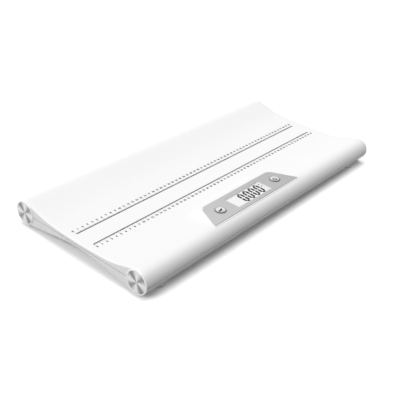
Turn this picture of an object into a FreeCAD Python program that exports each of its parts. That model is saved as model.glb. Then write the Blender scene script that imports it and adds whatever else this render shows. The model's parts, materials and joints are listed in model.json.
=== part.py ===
import FreeCAD, Part

import math
import os

# A digital baby weighing scale: a long dished tray between two rolls, a console on the
# front roll, and four feet that press on load cells inside the rolls.
# Lengths are in millimetres and angles in degrees. The origin is on the floor under the
# middle of the tray. +X runs along the tray to the right for a user at the console, who
# sits on the -Y side, and +Z is up.

# ---------------------------------------------------------------- driving dimensions

# Tray and rolls
body_length = 642.0  # over the end caps
body_width = 296.0  # over both rolls
roll_radius = 21.0
dish_rise = 4.1  # lowest line of the tray, above the rolls' axes
dish_radius = 900.0  # wide arc along the middle of the tray
shoulder_radius = 170.0  # arc between the dish and the slope
slope_angle = 16.0  # slope of the tray where it meets a roll
belly_drop = 4.3  # middle of the underside, below the rolls' axes
belly_radius = 240.0
foot_drop = 5.0  # floor to the underside of the rolls
wall = 2.5
end_wall = 2.5
end_chamfer = 0.9
seam_height = 0.5  # of the groove along the parting line
seam_depth = 1.0
lip_height = 2.0  # of the rib that locates the shells on each other
lip_thickness = 1.2
lip_clearance = 0.2
lip_end_gap = 14.0
rib_thickness = 1.6
rib_pitch = 48.0
rib_from_roll = 27.0  # from the ribs' ends to a roll's axis
rib_gap = 0.3  # between the ribs and the parting plane

# Console
console_x = -33.0  # middle of the console
console_overhang = 4.3  # front edge of the panel, past the front roll's axis
panel_front_width = 236.0
panel_back_width = 187.0
panel_depth = 50.8
panel_corner = 16.0
panel_front_corner = 1.5
panel_thickness = 1.2
panel_clearance = 0.15
panel_rim = 2.0  # white rim round the panel
rim_chamfer = 0.5
skirt_side = 7.6  # spread of the console's sides at the height of the rolls' axes
skirt_back = 24.0
console_plate = 2.4  # under the panel

# Display
display_setback = 24.7  # its middle, from the panel's front edge
display_shift = 2.8  # display and buttons, to the right of the console's middle
lens_length = 93.2
lens_width = 31.4
lens_corner = 1.5
glass_length = 88.0
glass_width = 30.0
glass_thickness = 2.2
glass_gap = 0.3  # under the lens
frame_wall = 3.0
frame_ledge = 2.0
frame_clearance = 0.2
window_clearance = 0.2  # round the glass, in the console's plate
zebra_length = 80.0
zebra_width = 1.6

# Buttons
button_inset = 41.0  # middle of a button, from the panel's front corner
button_radius = 9.8
button_clearance = 0.35
button_proud = 0.8
button_dish = 0.35
button_chamfer = 0.6
button_wall = 1.2
button_top = 1.8
button_flange = 1.8
button_flange_thickness = 1.5
button_travel = 1.0
button_stem_radius = 3.0
running_gap = 0.3
pill_radius = 2.5
pill_thickness = 0.9
dome_radius = 7.5
dome_crown = 4.6
dome_skin = 0.9
dome_gap = 0.03  # so that the stem only just bears on the dome

# Circuit board
board_margin = 12.0  # from a button's axis to the end of the board
board_width = 40.0
board_thickness = 1.6
board_drop = 6.5  # its top, below the console's plate
board_screw_spacing = 115.0
board_screw_rows = 32.0
chip_size = 14.0
chip_thickness = 1.6
socket_length = 8.0
socket_width = 7.0
socket_height = 4.5
socket_rows = 10.0  # between the two sockets at each end of the board
small_boss_radius = 3.5

# Feet and load cells
foot_from_end = 46.0  # middle of a foot, from the end of the body
foot_radius = 12.0
foot_flange = 1.6
foot_flange_thickness = 2.0
foot_step = 3.5  # height of the step that stops a foot, over the inside of the roll
foot_dome_radius = 4.0
foot_dome_crown = 1.0  # height of the rounded tip
foot_dome_gap = 0.1
pad_radius = 11.0
pad_height = 3.0
pad_recess = 1.0
pad_chamfer = 0.5
guide_wall = 2.1
cell_depth = 8.0  # underside of the load cells, below the rolls' axes
cell_length = 34.0
cell_width = 30.0
cell_thickness = 1.8
cell_border = 5.0
cell_slot = 1.5
cell_tongue = 10.0
clamp_thickness = 1.6
clamp_ear = 21.5  # screws, from the middle of the cell
clamp_ear_radius = 5.0
clamp_post_radius = 4.0

# Leads
lead_radius = 1.1
lead_bend = 12.0
low_bend = 5.5  # of a back lead, which turns under the parting plane
crossing_gap = 55.0  # least distance of a back lead's crossing from its foot
lead_start = 8.0  # from the middle of the cell
lead_run_up = 16.0

# Battery bay
bay_from_roll = 29.0  # from its middle to the front roll's axis
battery_radius = 5.25
battery_length = 44.5
battery_nub_radius = 1.9
battery_nub_length = 1.0
battery_pitch = 11.0
battery_count = 3
battery_clearance = 0.4
spring_room = 5.7
spring_wire = 0.35
spring_base_radius = 3.3
spring_turns = 3
plate_thickness = 0.4
plate_width = 10.4
battery_lead_radius = 0.7
bay_wall = 2.0
bay_ceiling = 1.6
door_thickness = 2.0
door_ledge = 2.5
door_gap = 0.3
door_bed = 0.1  # between the closed door and its ledge
door_corner = 2.0
hinge_depth = 1.3  # the pins' axis, inside the outer face of the door
hinge_pin_radius = 0.75
hinge_pin_length = 2.3
hinge_clearance = 0.06
latch_width = 14.0
latch_length = 9.0
latch_slot = 1.0
notch_radius = 7.0
notch_depth = 1.3

# End caps
cap_flange = 1.2
cap_radius = 20.6
cap_chamfer = 0.35
spigot_radius = 17.6
spigot_clearance = 0.15
spigot_length = 8.0
spigot_wall = 1.6
disc_radius = 18.2
disc_clearance = 0.15
disc_thickness = 0.8
disc_dish = 0.3

# Case screws
screw_radius = 1.5
screw_head_radius = 2.8
screw_head_height = 2.2
screw_length = 12.0
screw_clearance = 0.05
screw_from_roll = 31.0  # from a row of screws to the axis of its roll
screw_from_foot = 40.0  # along X, the outermost screws
screw_near_x = 80.0
screw_console_gap = 24.0  # from the ends of the console to the screws beside it
sleeve_radius = 5.0
sleeve_bore = 3.5
sleeve_floor = 4.0
boss_radius = 4.0
small_screw_radius = 1.2
small_head_radius = 2.2
small_head_height = 1.6
small_screw_length = 8.0
pilot_room = 0.5  # between a screw's tip and the end of its hole

# Common to all
bond = 0.5  # how far a boss or a rib runs into the wall that carries it
past = 1.0  # how far a cut runs past the face that it opens

# ---------------------------------------------------------------- places worked out

mid_z = foot_drop + roll_radius  # height of the rolls' axes and of the parting plane
roll_y = body_width / 2 - roll_radius
rib_reach = roll_y - rib_from_roll
bay_y = roll_y - bay_from_roll
screw_row = roll_y - screw_from_roll
top_z = mid_z + roll_radius
shell_length = body_length - 2 * cap_flange
foot_x = body_length / 2 - foot_from_end
screw_far_x = foot_x - screw_from_foot
crossing_bay = int((foot_x - crossing_gap) / rib_pitch)
lead_crossing_x = (crossing_bay + 0.5) * rib_pitch  # midway between two ribs
console_front = -(roll_y + console_overhang)
display_x = console_x + display_shift
display_y = console_front + display_setback
button_spacing = panel_front_width - 2 * button_inset
board_length = button_spacing + 2 * board_margin
panel_floor = top_z - panel_thickness
plate_floor = panel_floor - console_plate
glass_top = panel_floor - glass_gap
glass_seat = glass_top - glass_thickness
board_top = plate_floor - board_drop
board_floor = board_top - board_thickness
cell_floor = mid_z - cell_depth
cell_top = cell_floor + cell_thickness
cup_floor = pad_height - pad_recess
flange_floor = mid_z - roll_radius + wall + foot_step + running_gap
far = 2 * body_length  # larger than the whole scale
ends = {"left": -1, "right": 1}
sides = {"front": -1, "back": 1}
corners = [(a + "_" + b, ends[b], sides[a]) for a in sides for b in ends]


def vec(x, y, z):
    return FreeCAD.Vector(x, y, z)


def box(x0, x1, y0, y1, z0, z1):
    return Part.makeBox(x1 - x0, y1 - y0, z1 - z0, vec(x0, y0, z0))


def block(x, y, z0, z1, length, width):
    """A box with its middle over (x, y)."""
    return box(x - length / 2, x + length / 2, y - width / 2, y + width / 2, z0, z1)


def post(x, y, z0, z1, radius):
    """An upright cylinder."""
    return Part.makeCylinder(radius, z1 - z0, vec(x, y, z0))


def along_x(x0, x1, y, z, radius):
    """A cylinder that lies along X."""
    return Part.makeCylinder(radius, x1 - x0, vec(x0, y, z), vec(1, 0, 0))


def joined(shapes):
    first, rest = shapes[0], shapes[1:]
    return first.multiFuse(rest).removeSplitter() if rest else first


def turned(x, y, z, outline):
    """A solid of revolution about the upright axis through (x, y); outline is (radius, height over z)."""
    points = [vec(x + r, y, z + h) for r, h in outline]
    face = Part.Face(Part.makePolygon(points + points[:1]))
    return face.revolve(vec(x, y, z), vec(0, 0, 1), 360)


def rounded_edges(points, radii):
    """Edges of a closed outline with each corner rounded to its own radius."""
    bends = []
    for i, corner in enumerate(points):
        to_last = (points[i - 1] - corner).normalize()
        to_next = (points[(i + 1) % len(points)] - corner).normalize()
        half = to_last.getAngle(to_next) / 2
        if radii[i] <= 0:
            bends.append((corner, None, corner))
            continue
        reach = radii[i] / math.tan(half)
        middle = (to_last + to_next).normalize() * (radii[i] / math.sin(half) - radii[i])
        bends.append((corner + to_last * reach, corner + middle, corner + to_next * reach))
    edges = []
    for i, (start, middle, end) in enumerate(bends):
        if middle:
            edges.append(Part.Arc(start, middle, end).toShape())
        edges.append(Part.makeLine(end, bends[(i + 1) % len(bends)][0]))
    return edges


def plate(x, y, z0, z1, length, width, corner):
    """A flat rectangle with rounded corners, with its middle over (x, y)."""
    signs = [(-1, -1), (1, -1), (1, 1), (-1, 1)]
    points = [vec(x + a * length / 2, y + b * width / 2, z0) for a, b in signs]
    outline = Part.Wire(rounded_edges(points, [corner] * 4))
    return Part.Face(outline).extrude(vec(0, 0, z1 - z0))


# ---------------------------------------------------------------- the bow-tie section


def tray_outline():
    """Points of the tray's upper line, from the middle to the roll: (distance, height over the axes)."""
    steepest = math.radians(slope_angle)
    spread = dish_radius - shoulder_radius
    level = math.cos(steepest) * (dish_rise + dish_radius) - shoulder_radius - roll_radius
    turn = steepest - math.acos((level + roll_y * math.sin(steepest)) / spread)
    centre = (spread * math.sin(turn), dish_rise + dish_radius - spread * math.cos(turn))

    def on_shoulder(angle):
        return (
            centre[0] + shoulder_radius * math.sin(angle),
            centre[1] - shoulder_radius * math.cos(angle),
        )

    shoulder = [on_shoulder(turn), on_shoulder((turn + steepest) / 2), on_shoulder(steepest)]
    touch = (roll_y - roll_radius * math.sin(steepest), roll_radius * math.cos(steepest))
    return shoulder + [touch]


def belly_outline():
    """The underside's slope, the end of its middle arc and where it meets the roll."""
    centre = belly_drop + belly_radius
    lean = math.acos((roll_radius + belly_radius) / math.hypot(centre, roll_y))
    slope = math.atan2(roll_y, centre) - lean
    arc_end = (belly_radius * math.sin(slope), centre - belly_radius * math.cos(slope))
    touch = (roll_y - roll_radius * math.sin(slope), roll_radius * math.cos(slope))
    return slope, arc_end, touch


def section_wire(inset):
    """The closed bow-tie outline across the tray, moved inwards by inset."""
    start, middle, end, touch = tray_outline()
    slope, arc_end, low_touch = belly_outline()

    def at(point, side, up):
        return vec(0, side * point[0], mid_z + up * point[1])

    def arc(a, b, c):
        return Part.Arc(a, b, c).toShape()

    edges = [arc(at(start, -1, 1), at((0, dish_rise), 1, 1), at(start, 1, 1))]
    edges += [arc(at(start, 1, 1), at(middle, 1, 1), at(end, 1, 1))]
    edges += [Part.makeLine(at(end, 1, 1), at(touch, 1, 1))]
    edges += [arc(at(touch, 1, 1), vec(0, roll_y + roll_radius, mid_z), at(low_touch, 1, -1))]
    edges += [Part.makeLine(at(low_touch, 1, -1), at(arc_end, 1, -1))]
    edges += [arc(at(arc_end, 1, -1), at((0, belly_drop), 1, -1), at(arc_end, -1, -1))]
    edges += [Part.makeLine(at(arc_end, -1, -1), at(low_touch, -1, -1))]
    edges += [arc(at(low_touch, -1, -1), vec(0, -roll_y - roll_radius, mid_z), at(touch, -1, 1))]
    edges += [Part.makeLine(at(touch, -1, 1), at(end, -1, 1))]
    edges += [arc(at(end, -1, 1), at(middle, -1, 1), at(start, -1, 1))]
    outline = Part.Wire(edges)
    return outline.makeOffset2D(-inset) if inset else outline


def tray_prism(inset, length):
    """The bow-tie section run along X, centred on the origin."""
    solid = Part.Face(section_wire(inset)).extrude(vec(length, 0, 0))
    return solid.translated(vec(-length / 2, 0, 0))


def skin():
    """The outside of both shells, with its end edges chamfered."""
    solid = tray_prism(0, shell_length)
    flat = [e for e in solid.Edges if abs(e.CenterOfMass.x) > shell_length / 2 - wall / 2]
    return solid.makeChamfer(end_chamfer, flat)


def hollow():
    return tray_prism(wall, shell_length - 2 * end_wall)


def above(z):
    return box(-far, far, -far, far, z, z + far)


def below(z):
    return box(-far, far, -far, far, z - far, z)


# ---------------------------------------------------------------- console


def console_outline(z, side, back, front, corner):
    """The panel's outline at height z, spread outwards by the three distances."""
    lean = (panel_front_width - panel_back_width) / 2 / panel_depth
    half_front = panel_front_width / 2 + side * math.hypot(1, lean) + front * lean
    half_back = half_front - lean * (front + panel_depth + back)
    y_front = console_front - front
    y_back = console_front + panel_depth + back
    points = [
        vec(console_x - half_front, y_front, z),
        vec(console_x + half_front, y_front, z),
        vec(console_x + half_back, y_back, z),
        vec(console_x - half_back, y_back, z),
    ]
    radii = [panel_front_corner, panel_front_corner, corner, corner]
    return Part.Wire(rounded_edges(points, radii))


def console_ring(z, inset):
    """The raised console's outline at height z. Its sides spread downwards into the tray."""
    drop = (top_z - z) / roll_radius
    side = panel_rim + (skirt_side - panel_rim) * drop - inset
    slant = math.hypot(1, (skirt_back - panel_rim) / roll_radius)
    back = panel_rim + (skirt_back - panel_rim) * drop - inset * slant
    return console_outline(z, side, back, panel_rim - inset, panel_corner + panel_rim - inset)


def console_body():
    edge = top_z - rim_chamfer
    rings = [console_ring(mid_z, 0), console_ring(edge, 0), console_ring(top_z, rim_chamfer)]
    return Part.makeLoft(rings, True, True)


def console_hollow():
    return Part.makeLoft([console_ring(mid_z, wall), console_ring(plate_floor, wall)], True, True)


def button_places():
    return {name: display_x + side * button_spacing / 2 for name, side in ends.items()}


def panel_slab(clearance, z0, z1):
    outline = console_outline(z0, -clearance, -clearance, -clearance, panel_corner - clearance)
    return Part.Face(outline).extrude(vec(0, 0, z1 - z0))


def console_openings():
    """What the console's plate leaves open: the panel's recess, the window and the button holes."""
    cuts = [panel_slab(0, panel_floor, top_z + wall)]
    low = plate_floor - past
    length, width = glass_length + 2 * window_clearance, glass_width + 2 * window_clearance
    cuts += [block(display_x, display_y, low, top_z, length, width)]
    hole = button_radius + button_clearance
    cuts += [post(x, display_y, low, top_z, hole) for x in button_places().values()]
    return cuts


def board_screw_places():
    half_length, half_width = board_screw_spacing / 2, board_screw_rows / 2
    signs = [(a, b) for a in (-1, 1) for b in (-1, 1)]
    return [(display_x + a * half_length, display_y + b * half_width) for a, b in signs]


def console_panel():
    lens = plate(
        display_x,
        display_y,
        panel_floor,
        top_z,
        lens_length + 2 * panel_clearance,
        lens_width + 2 * panel_clearance,
        lens_corner + panel_clearance,
    )
    hole = button_radius + button_clearance
    cuts = [post(x, display_y, panel_floor, top_z, hole) for x in button_places().values()]
    return panel_slab(panel_clearance, panel_floor, top_z).cut(Part.makeCompound(cuts + [lens]))


def display_lens():
    return plate(
        display_x, display_y, panel_floor, top_z, lens_length, lens_width, lens_corner
    )


def lcd_glass():
    """Two bonded panes; the lower one reaches further forward, where the contacts are."""
    split = glass_top - glass_thickness / 2
    lower = block(display_x, display_y, glass_seat, split, glass_length, glass_width)
    y = display_y + zebra_width / 2
    upper = block(display_x, y, split, glass_top, glass_length, glass_width - zebra_width)
    return lower.fuse(upper).removeSplitter()


def frame_inside():
    """Length and width of the opening through the display frame."""
    return glass_length - 2 * frame_ledge, glass_width - 2 * frame_ledge


def lcd_frame():
    """A ring that stands on the board and carries the glass."""
    length, width = glass_length + 2 * frame_wall, glass_width + 2 * frame_wall
    body = plate(display_x, display_y, board_top, glass_seat, length, width, lens_corner)
    return body.cut(block(display_x, display_y, board_top, glass_seat, *frame_inside()))


def zebra_connector():
    """Striped rubber bar that joins the glass to the board, along the front of the frame."""
    y = display_y - frame_inside()[1] / 2 + frame_clearance + zebra_width / 2
    return block(display_x, y, board_top, glass_seat, zebra_length, zebra_width)


def backlight_panel():
    length, width = frame_inside()
    taken = zebra_width + 2 * frame_clearance
    return block(
        display_x,
        display_y + taken / 2,
        board_top,
        glass_seat - frame_clearance,
        length - 2 * frame_clearance,
        width - taken - 2 * frame_clearance,
    )


def button(x):
    """A cup-shaped cap with a flange under the console's plate and a stem over its dome."""
    top = top_z + button_proud
    flange_top = plate_floor - running_gap
    flange_floor_z = flange_top - button_flange_thickness
    stem_floor = board_top + stem_height()
    outer = button_radius
    inner = button_radius - button_wall
    wide = button_radius + button_flange
    outline = [
        (0, stem_floor),
        (button_stem_radius, stem_floor),
        (button_stem_radius, top - button_top),
        (inner, top - button_top),
        (inner, flange_floor_z),
        (wide, flange_floor_z),
        (wide, flange_top),
        (outer, flange_top),
        (outer, top - button_chamfer),
        (outer - button_chamfer, top),
        (0, top - button_dish),
    ]
    return turned(x, display_y, 0, outline)


def crown_floor():
    """Height of the pill's upper face over the board."""
    return button_travel + foot_dome_gap + pill_thickness


def stem_height():
    """Height of a button's stem over the board."""
    return crown_floor() + dome_skin + 2 * dome_gap


def key_dome(x):
    """Silicone dome: a ring on the board, a sloping skirt and a crown that carries the pill."""
    under = crown_floor() + dome_gap
    outline = [
        (0, under),
        (dome_crown - dome_skin, under),
        (dome_radius - 2 * dome_skin, dome_skin / 2),
        (dome_radius - 2 * dome_skin, 0),
        (dome_radius, 0),
        (dome_radius, dome_skin),
        (dome_radius - dome_skin, dome_skin),
        (dome_crown, under + dome_skin),
        (0, under + dome_skin),
    ]
    return turned(x, display_y, board_top, outline)


def key_pill(x):
    top = board_top + crown_floor()
    return post(x, display_y, top - pill_thickness, top, pill_radius)


def main_board():
    solid = plate(
        display_x, display_y, board_floor, board_top, board_length, board_width, lens_corner
    )
    hole = small_screw_radius + panel_clearance
    holes = [post(x, y, board_floor, board_top, hole) for x, y in board_screw_places()]
    return solid.cut(Part.makeCompound(holes))


def control_chip():
    return block(
        display_x, display_y, board_floor - chip_thickness, board_floor, chip_size, chip_size
    )


def socket_place(end, side):
    """Middle of the lead socket for one load cell: x and y."""
    x = display_x + end * (board_length - socket_length) / 2
    return x, display_y - socket_rows / 2 + side * socket_rows / 2


def lead_sockets():
    places = [socket_place(end, side) for _, end, side in corners]
    floor = board_floor - socket_height
    blocks = [block(x, y, floor, board_floor, socket_length, socket_width) for x, y in places]
    return Part.makeCompound(blocks)


def small_screw(x, y, seat, up):
    """A pan-head screw with its head against seat; up is 1 if it points up."""
    tip, head = seat + up * small_screw_length, seat - up * small_head_height
    shank = post(x, y, min(seat, tip), max(seat, tip), small_screw_radius)
    return shank.fuse(post(x, y, min(seat, head), max(seat, head), small_head_radius))


def board_screws():
    return Part.makeCompound([small_screw(x, y, board_floor, 1) for x, y in board_screw_places()])


# ---------------------------------------------------------------- case screws


def case_screw_places():
    half = panel_front_width / 2 + screw_console_gap
    back = [(s * x, screw_row) for x in (screw_far_x, screw_near_x) for s in (-1, 1)]
    front = [(s * screw_far_x, -screw_row) for s in (-1, 1)]
    return back + front + [(console_x + s * half, -screw_row) for s in (-1, 1)]


def case_screws():
    seat = mid_z - sleeve_floor
    solids = []
    for x, y in case_screw_places():
        shank = post(x, y, seat, seat + screw_length, screw_radius)
        head = post(x, y, seat - screw_head_height, seat, screw_head_radius)
        solids.append(shank.fuse(head))
    return Part.makeCompound(solids)


# ---------------------------------------------------------------- feet and load cells


def foot_place(end, side):
    return end * foot_x, side * roll_y


def foot_cup(end, side):
    """A plastic foot: a flange that stops it in its guide and a dome that bears on the load cell."""
    x, y = foot_place(end, side)
    wide = foot_radius + foot_flange
    shoulder = flange_floor + foot_flange_thickness
    tip = cell_floor - foot_dome_gap
    outline = [
        (0, cup_floor + pad_recess),
        (pad_radius + panel_clearance, cup_floor + pad_recess),
        (pad_radius + panel_clearance, cup_floor),
        (foot_radius, cup_floor),
        (foot_radius, flange_floor),
        (wide, flange_floor),
        (wide, shoulder),
        (foot_dome_radius, shoulder),
        (foot_dome_radius, tip - foot_dome_crown),
        (foot_dome_radius / 2, tip),
        (0, tip),
    ]
    return turned(x, y, 0, outline)


def foot_pad(end, side):
    x, y = foot_place(end, side)
    outline = [
        (0, 0),
        (pad_radius - pad_chamfer, 0),
        (pad_radius, pad_chamfer),
        (pad_radius, pad_height),
        (0, pad_height),
    ]
    return turned(x, y, 0, outline)


def load_cell(end, side):
    """A stamped steel plate whose middle tongue bends when its foot pushes it up."""
    x, y = foot_place(end, side)
    solid = plate(x, y, cell_floor, cell_top, cell_length, cell_width, cell_slot)
    reach = cell_length - 2 * cell_border
    slot = block(x, y, cell_floor, cell_top, reach, cell_tongue + 2 * cell_slot)
    tongue = block(x - end * cell_slot, y, cell_floor, cell_top, reach, cell_tongue)
    return solid.cut(slot.cut(tongue))


def clamp_screw_places(end, side):
    x, y = foot_place(end, side)
    return [(x + s * clamp_ear, y) for s in (-1, 1)]


def cell_clamp(end, side):
    """A frame with two ears that holds the rim of a load cell down."""
    x, y = foot_place(end, side)
    top = cell_top + clamp_thickness
    frame = block(x, y, cell_top, top, cell_length, cell_width)
    ears = [post(a, b, cell_top, top, clamp_ear_radius) for a, b in clamp_screw_places(end, side)]
    bar = block(x, y, cell_top, top, 2 * clamp_ear, 2 * clamp_ear_radius)
    opening = block(
        x, y, cell_top, top, cell_length - 2 * cell_border, cell_width - 2 * cell_border
    )
    hole = small_screw_radius + panel_clearance
    holes = [post(a, b, cell_top, top, hole) for a, b in clamp_screw_places(end, side)]
    return joined([frame, bar] + ears).cut(Part.makeCompound([opening] + holes))


def cell_clamps():
    return Part.makeCompound([cell_clamp(end, side) for _, end, side in corners])


def clamp_screws():
    seat = cell_top + clamp_thickness
    places = [p for _, end, side in corners for p in clamp_screw_places(end, side)]
    return Part.makeCompound([small_screw(x, y, seat, -1) for x, y in places])


def tube(points, radius, bends):
    """A round lead along straight runs joined by tangent arcs, one bend radius for each corner."""
    edges = []
    start = points[0]
    for last, corner, following, bend in zip(points, points[1:], points[2:], bends):
        to_last = (last - corner).normalize()
        to_next = (following - corner).normalize()
        half = to_last.getAngle(to_next) / 2
        reach = bend / math.tan(half)
        inward = (to_last + to_next).normalize() * (bend / math.sin(half) - bend)
        edges.append(Part.makeLine(start, corner + to_last * reach))
        start = corner + to_next * reach
        edges.append(Part.Arc(corner + to_last * reach, corner + inward, start).toShape())
    edges.append(Part.makeLine(start, points[-1]))
    ring = Part.Wire(Part.makeCircle(radius, points[0], points[1] - points[0]))
    return Part.Wire(edges).makePipeShell([ring], True, False)


def cell_lead(end, side):
    """The lead of one load cell, from the clamp's opening to its socket on the board."""
    x, y = foot_place(end, side)
    socket_x, socket_y = socket_place(end, side)
    socket_face = socket_x + end * socket_length / 2
    high = board_floor - socket_height / 2
    start_x = x - end * lead_start
    rise_x = socket_face + end * lead_run_up
    if side < 0:
        points = [
            vec(start_x, y, cell_top),
            vec(start_x, y, high),
            vec(rise_x + end * lead_run_up, y, high),
            vec(rise_x, socket_y, high),
            vec(socket_face, socket_y, high),
        ]
        return tube(points, lead_radius, [lead_bend] * 3)
    points = [
        vec(start_x, y, cell_top),
        vec(start_x, y, mid_z),
        vec(end * lead_crossing_x, y, mid_z),
        vec(end * lead_crossing_x, socket_y, mid_z),
        vec(rise_x + end * lead_run_up, socket_y, mid_z),
        vec(rise_x, socket_y, high),
        vec(socket_face, socket_y, high),
    ]
    return tube(points, lead_radius, [low_bend] + [lead_bend] * 4)


# ---------------------------------------------------------------- battery bay


def bay_placement():
    """The bay's own frame: the floor is the tray's underside, +Z points into the body."""
    slope, _, touch = belly_outline()
    height = mid_z - touch[1] + (touch[0] - bay_y) * math.tan(slope)
    turn = FreeCAD.Rotation(vec(1, 0, 0), math.degrees(slope))
    return FreeCAD.Placement(vec(console_x, -bay_y, height), turn)


def in_bay(shape):
    placed = shape.copy()
    placed.Placement = bay_placement().multiply(placed.Placement)
    return placed


pocket_length = battery_length + spring_room + 2 * plate_thickness
pocket_width = battery_pitch * battery_count + 2 * battery_clearance
pocket_ceiling = door_thickness + 2 * battery_clearance + 2 * battery_radius
mouth_length = pocket_length + 2 * door_ledge
mouth_width = pocket_width + 2 * door_ledge
door_width = mouth_width - 2 * door_gap
door_length = mouth_length - 2 * door_gap
hinge_y = door_width / 2 - hinge_depth
door_seat = door_thickness + door_bed


def bay_block():
    """The moulded box round the batteries, from within the shell's wall up to its ceiling."""
    length, width = mouth_length + 2 * bay_wall, mouth_width + 2 * bay_wall
    return in_bay(block(0, 0, wall - bond, pocket_ceiling + bay_ceiling, length, width))


def bay_cuts():
    """The door's recess, the pocket, the hinge groove, the pins' holes and the finger notch."""
    recess = plate(0, 0, -wall, door_seat, mouth_length, mouth_width, door_corner)
    pocket = block(0, 0, 0, pocket_ceiling, pocket_length, pocket_width)
    groove_radius = hinge_depth + door_gap
    half = mouth_length / 2
    groove = along_x(-half, half, hinge_y, hinge_depth, groove_radius)
    reach = door_length / 2 + hinge_pin_length + door_gap
    pins = along_x(-reach, reach, hinge_y, hinge_depth, hinge_pin_radius + hinge_clearance)
    notch = Part.makeCylinder(notch_radius, wall + notch_depth, vec(0, -mouth_width / 2, -wall))
    leads = [battery_lead_hole(i) for i in (0, battery_count - 1)]
    cuts = [in_bay(s) for s in (recess, pocket, groove, pins, notch)]
    return cuts + leads


def battery_door():
    """A flat lid with two hinge pins, flush with the underside, and a springy latch tongue."""
    half_length, half_width = door_length / 2, door_width / 2
    body = plate(0, 0, 0, door_thickness, door_length, door_width, door_corner)
    body = body.cut(box(-far, far, hinge_y, far, -wall, wall * 2))
    barrel = along_x(-half_length, half_length, hinge_y, hinge_depth, hinge_depth)
    reach = half_length + hinge_pin_length
    pins = along_x(-reach, reach, hinge_y, hinge_depth, hinge_pin_radius)
    slots = [
        block(
            s * (latch_width + latch_slot) / 2,
            -half_width + latch_length / 2,
            -wall,
            wall * 2,
            latch_slot,
            latch_length,
        )
        for s in (-1, 1)
    ]
    return in_bay(joined([body, barrel, pins]).cut(Part.makeCompound(slots)))


def battery_row(i):
    """Where cell i lies across the bay, and which way its positive end points."""
    return (i - (battery_count - 1) / 2) * battery_pitch, 1 if i % 2 == 0 else -1


def battery_height():
    return door_thickness + battery_clearance + battery_radius


def battery(i):
    y, toward = battery_row(i)
    tip = toward * (pocket_length / 2 - plate_thickness - dome_gap)
    solid = Part.makeCylinder(
        battery_radius,
        battery_length - battery_nub_length,
        vec(tip - toward * battery_nub_length, y, battery_height()),
        vec(-toward, 0, 0),
    )
    nub = Part.makeCylinder(
        battery_nub_radius,
        battery_nub_length,
        vec(tip, y, battery_height()),
        vec(-toward, 0, 0),
    )
    return in_bay(solid.fuse(nub))


def batteries():
    return Part.makeCompound([battery(i) for i in range(battery_count)])


def contact_groups(end):
    """The cells that share one contact plate at this end of the bay."""
    first = [0] if end < 0 else []
    rest = range(len(first), battery_count)
    pairs = [list(rest[i : i + 2]) for i in range(0, len(rest), 2)]
    return ([first] if first else []) + pairs


def battery_plates():
    solids = []
    for end in (-1, 1):
        x = end * (pocket_length - plate_thickness) / 2
        for group in contact_groups(end):
            rows = [battery_row(i)[0] for i in group]
            width = rows[-1] - rows[0] + plate_width
            z0 = battery_height() - plate_width / 2
            z1 = battery_height() + plate_width / 2
            middle = (rows[0] + rows[-1]) / 2
            solids.append(in_bay(block(x, middle, z0, z1, plate_thickness, width)))
    return Part.makeCompound(solids)


def battery_spring(i):
    """A conical coil between a plate and the flat end of its cell."""
    y, toward = battery_row(i)
    height = spring_room - 2 * spring_wire - 3 * dome_gap
    pitch = height / spring_turns
    lean = math.degrees(math.atan2(spring_base_radius - battery_nub_radius, height))
    helix = Part.makeHelix(pitch, height, battery_nub_radius, lean)
    offsets = [(1, 0), (0, 1), (-1, 0), (0, -1), (1, 0)]
    points = [vec(battery_nub_radius + a * spring_wire, 0, b * spring_wire) for a, b in offsets]
    coil = Part.Wire(helix).makePipeShell([Part.makePolygon(points)], True, True)
    start = -toward * (pocket_length / 2 - plate_thickness - spring_room + spring_wire + dome_gap)
    turn = FreeCAD.Rotation(vec(0, 0, 1), vec(-toward, 0, 0))
    coil.Placement = FreeCAD.Placement(vec(start, y, battery_height()), turn)
    return in_bay(coil)


def battery_springs():
    return Part.makeCompound([battery_spring(i) for i in range(battery_count)])


def battery_lead_line(i):
    """Upright line of the lead at the outer contact of cell i: x, y and its lower end."""
    end = -1 if i == 0 else 1
    x = end * (pocket_length / 2 - plate_thickness - battery_lead_radius - dome_gap)
    y = battery_row(i)[0] + end * (plate_width - battery_lead_radius) / 2
    foot = bay_placement().multVec(vec(x, y, pocket_ceiling - 2 * battery_lead_radius))
    return foot.x, foot.y, foot.z


def battery_lead_hole(i):
    x, y, z = battery_lead_line(i)
    return post(x, y, z, z + 4 * bay_ceiling, battery_lead_radius + lip_clearance)


def battery_leads():
    solids = []
    for i in (0, battery_count - 1):
        x, y, z = battery_lead_line(i)
        solids.append(post(x, y, z, board_floor, battery_lead_radius))
    return Part.makeCompound(solids)


# ---------------------------------------------------------------- shells


def cap_bores():
    """The openings for the end caps' spigots, half in each shell."""
    radius = spigot_radius + spigot_clearance
    return [along_x(-far, far, side * roll_y, mid_z, radius) for side in (-1, 1)]


def rib_boxes(z0, z1):
    count = int((shell_length / 2 - wall) // rib_pitch)
    places = [i * rib_pitch for i in range(-count, count + 1)]
    return [block(x, 0, z0, z1, rib_thickness, 2 * rib_reach) for x in places]


def console_keep_out():
    """Room for the board, the battery bay and their leads under the console."""
    half = panel_front_width / 2 + sleeve_radius
    back = console_front + panel_depth + skirt_back
    return box(console_x - half, console_x + half, -far, back, -far, far)


def ribs(inside, z0, z1):
    boxes = Part.makeCompound(rib_boxes(z0, z1))
    grown = [post(x, y, 0, far, 2 * boss_radius) for x, y in case_screw_places()]
    return inside.common(boxes).cut(Part.makeCompound([console_keep_out()] + grown))


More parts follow.
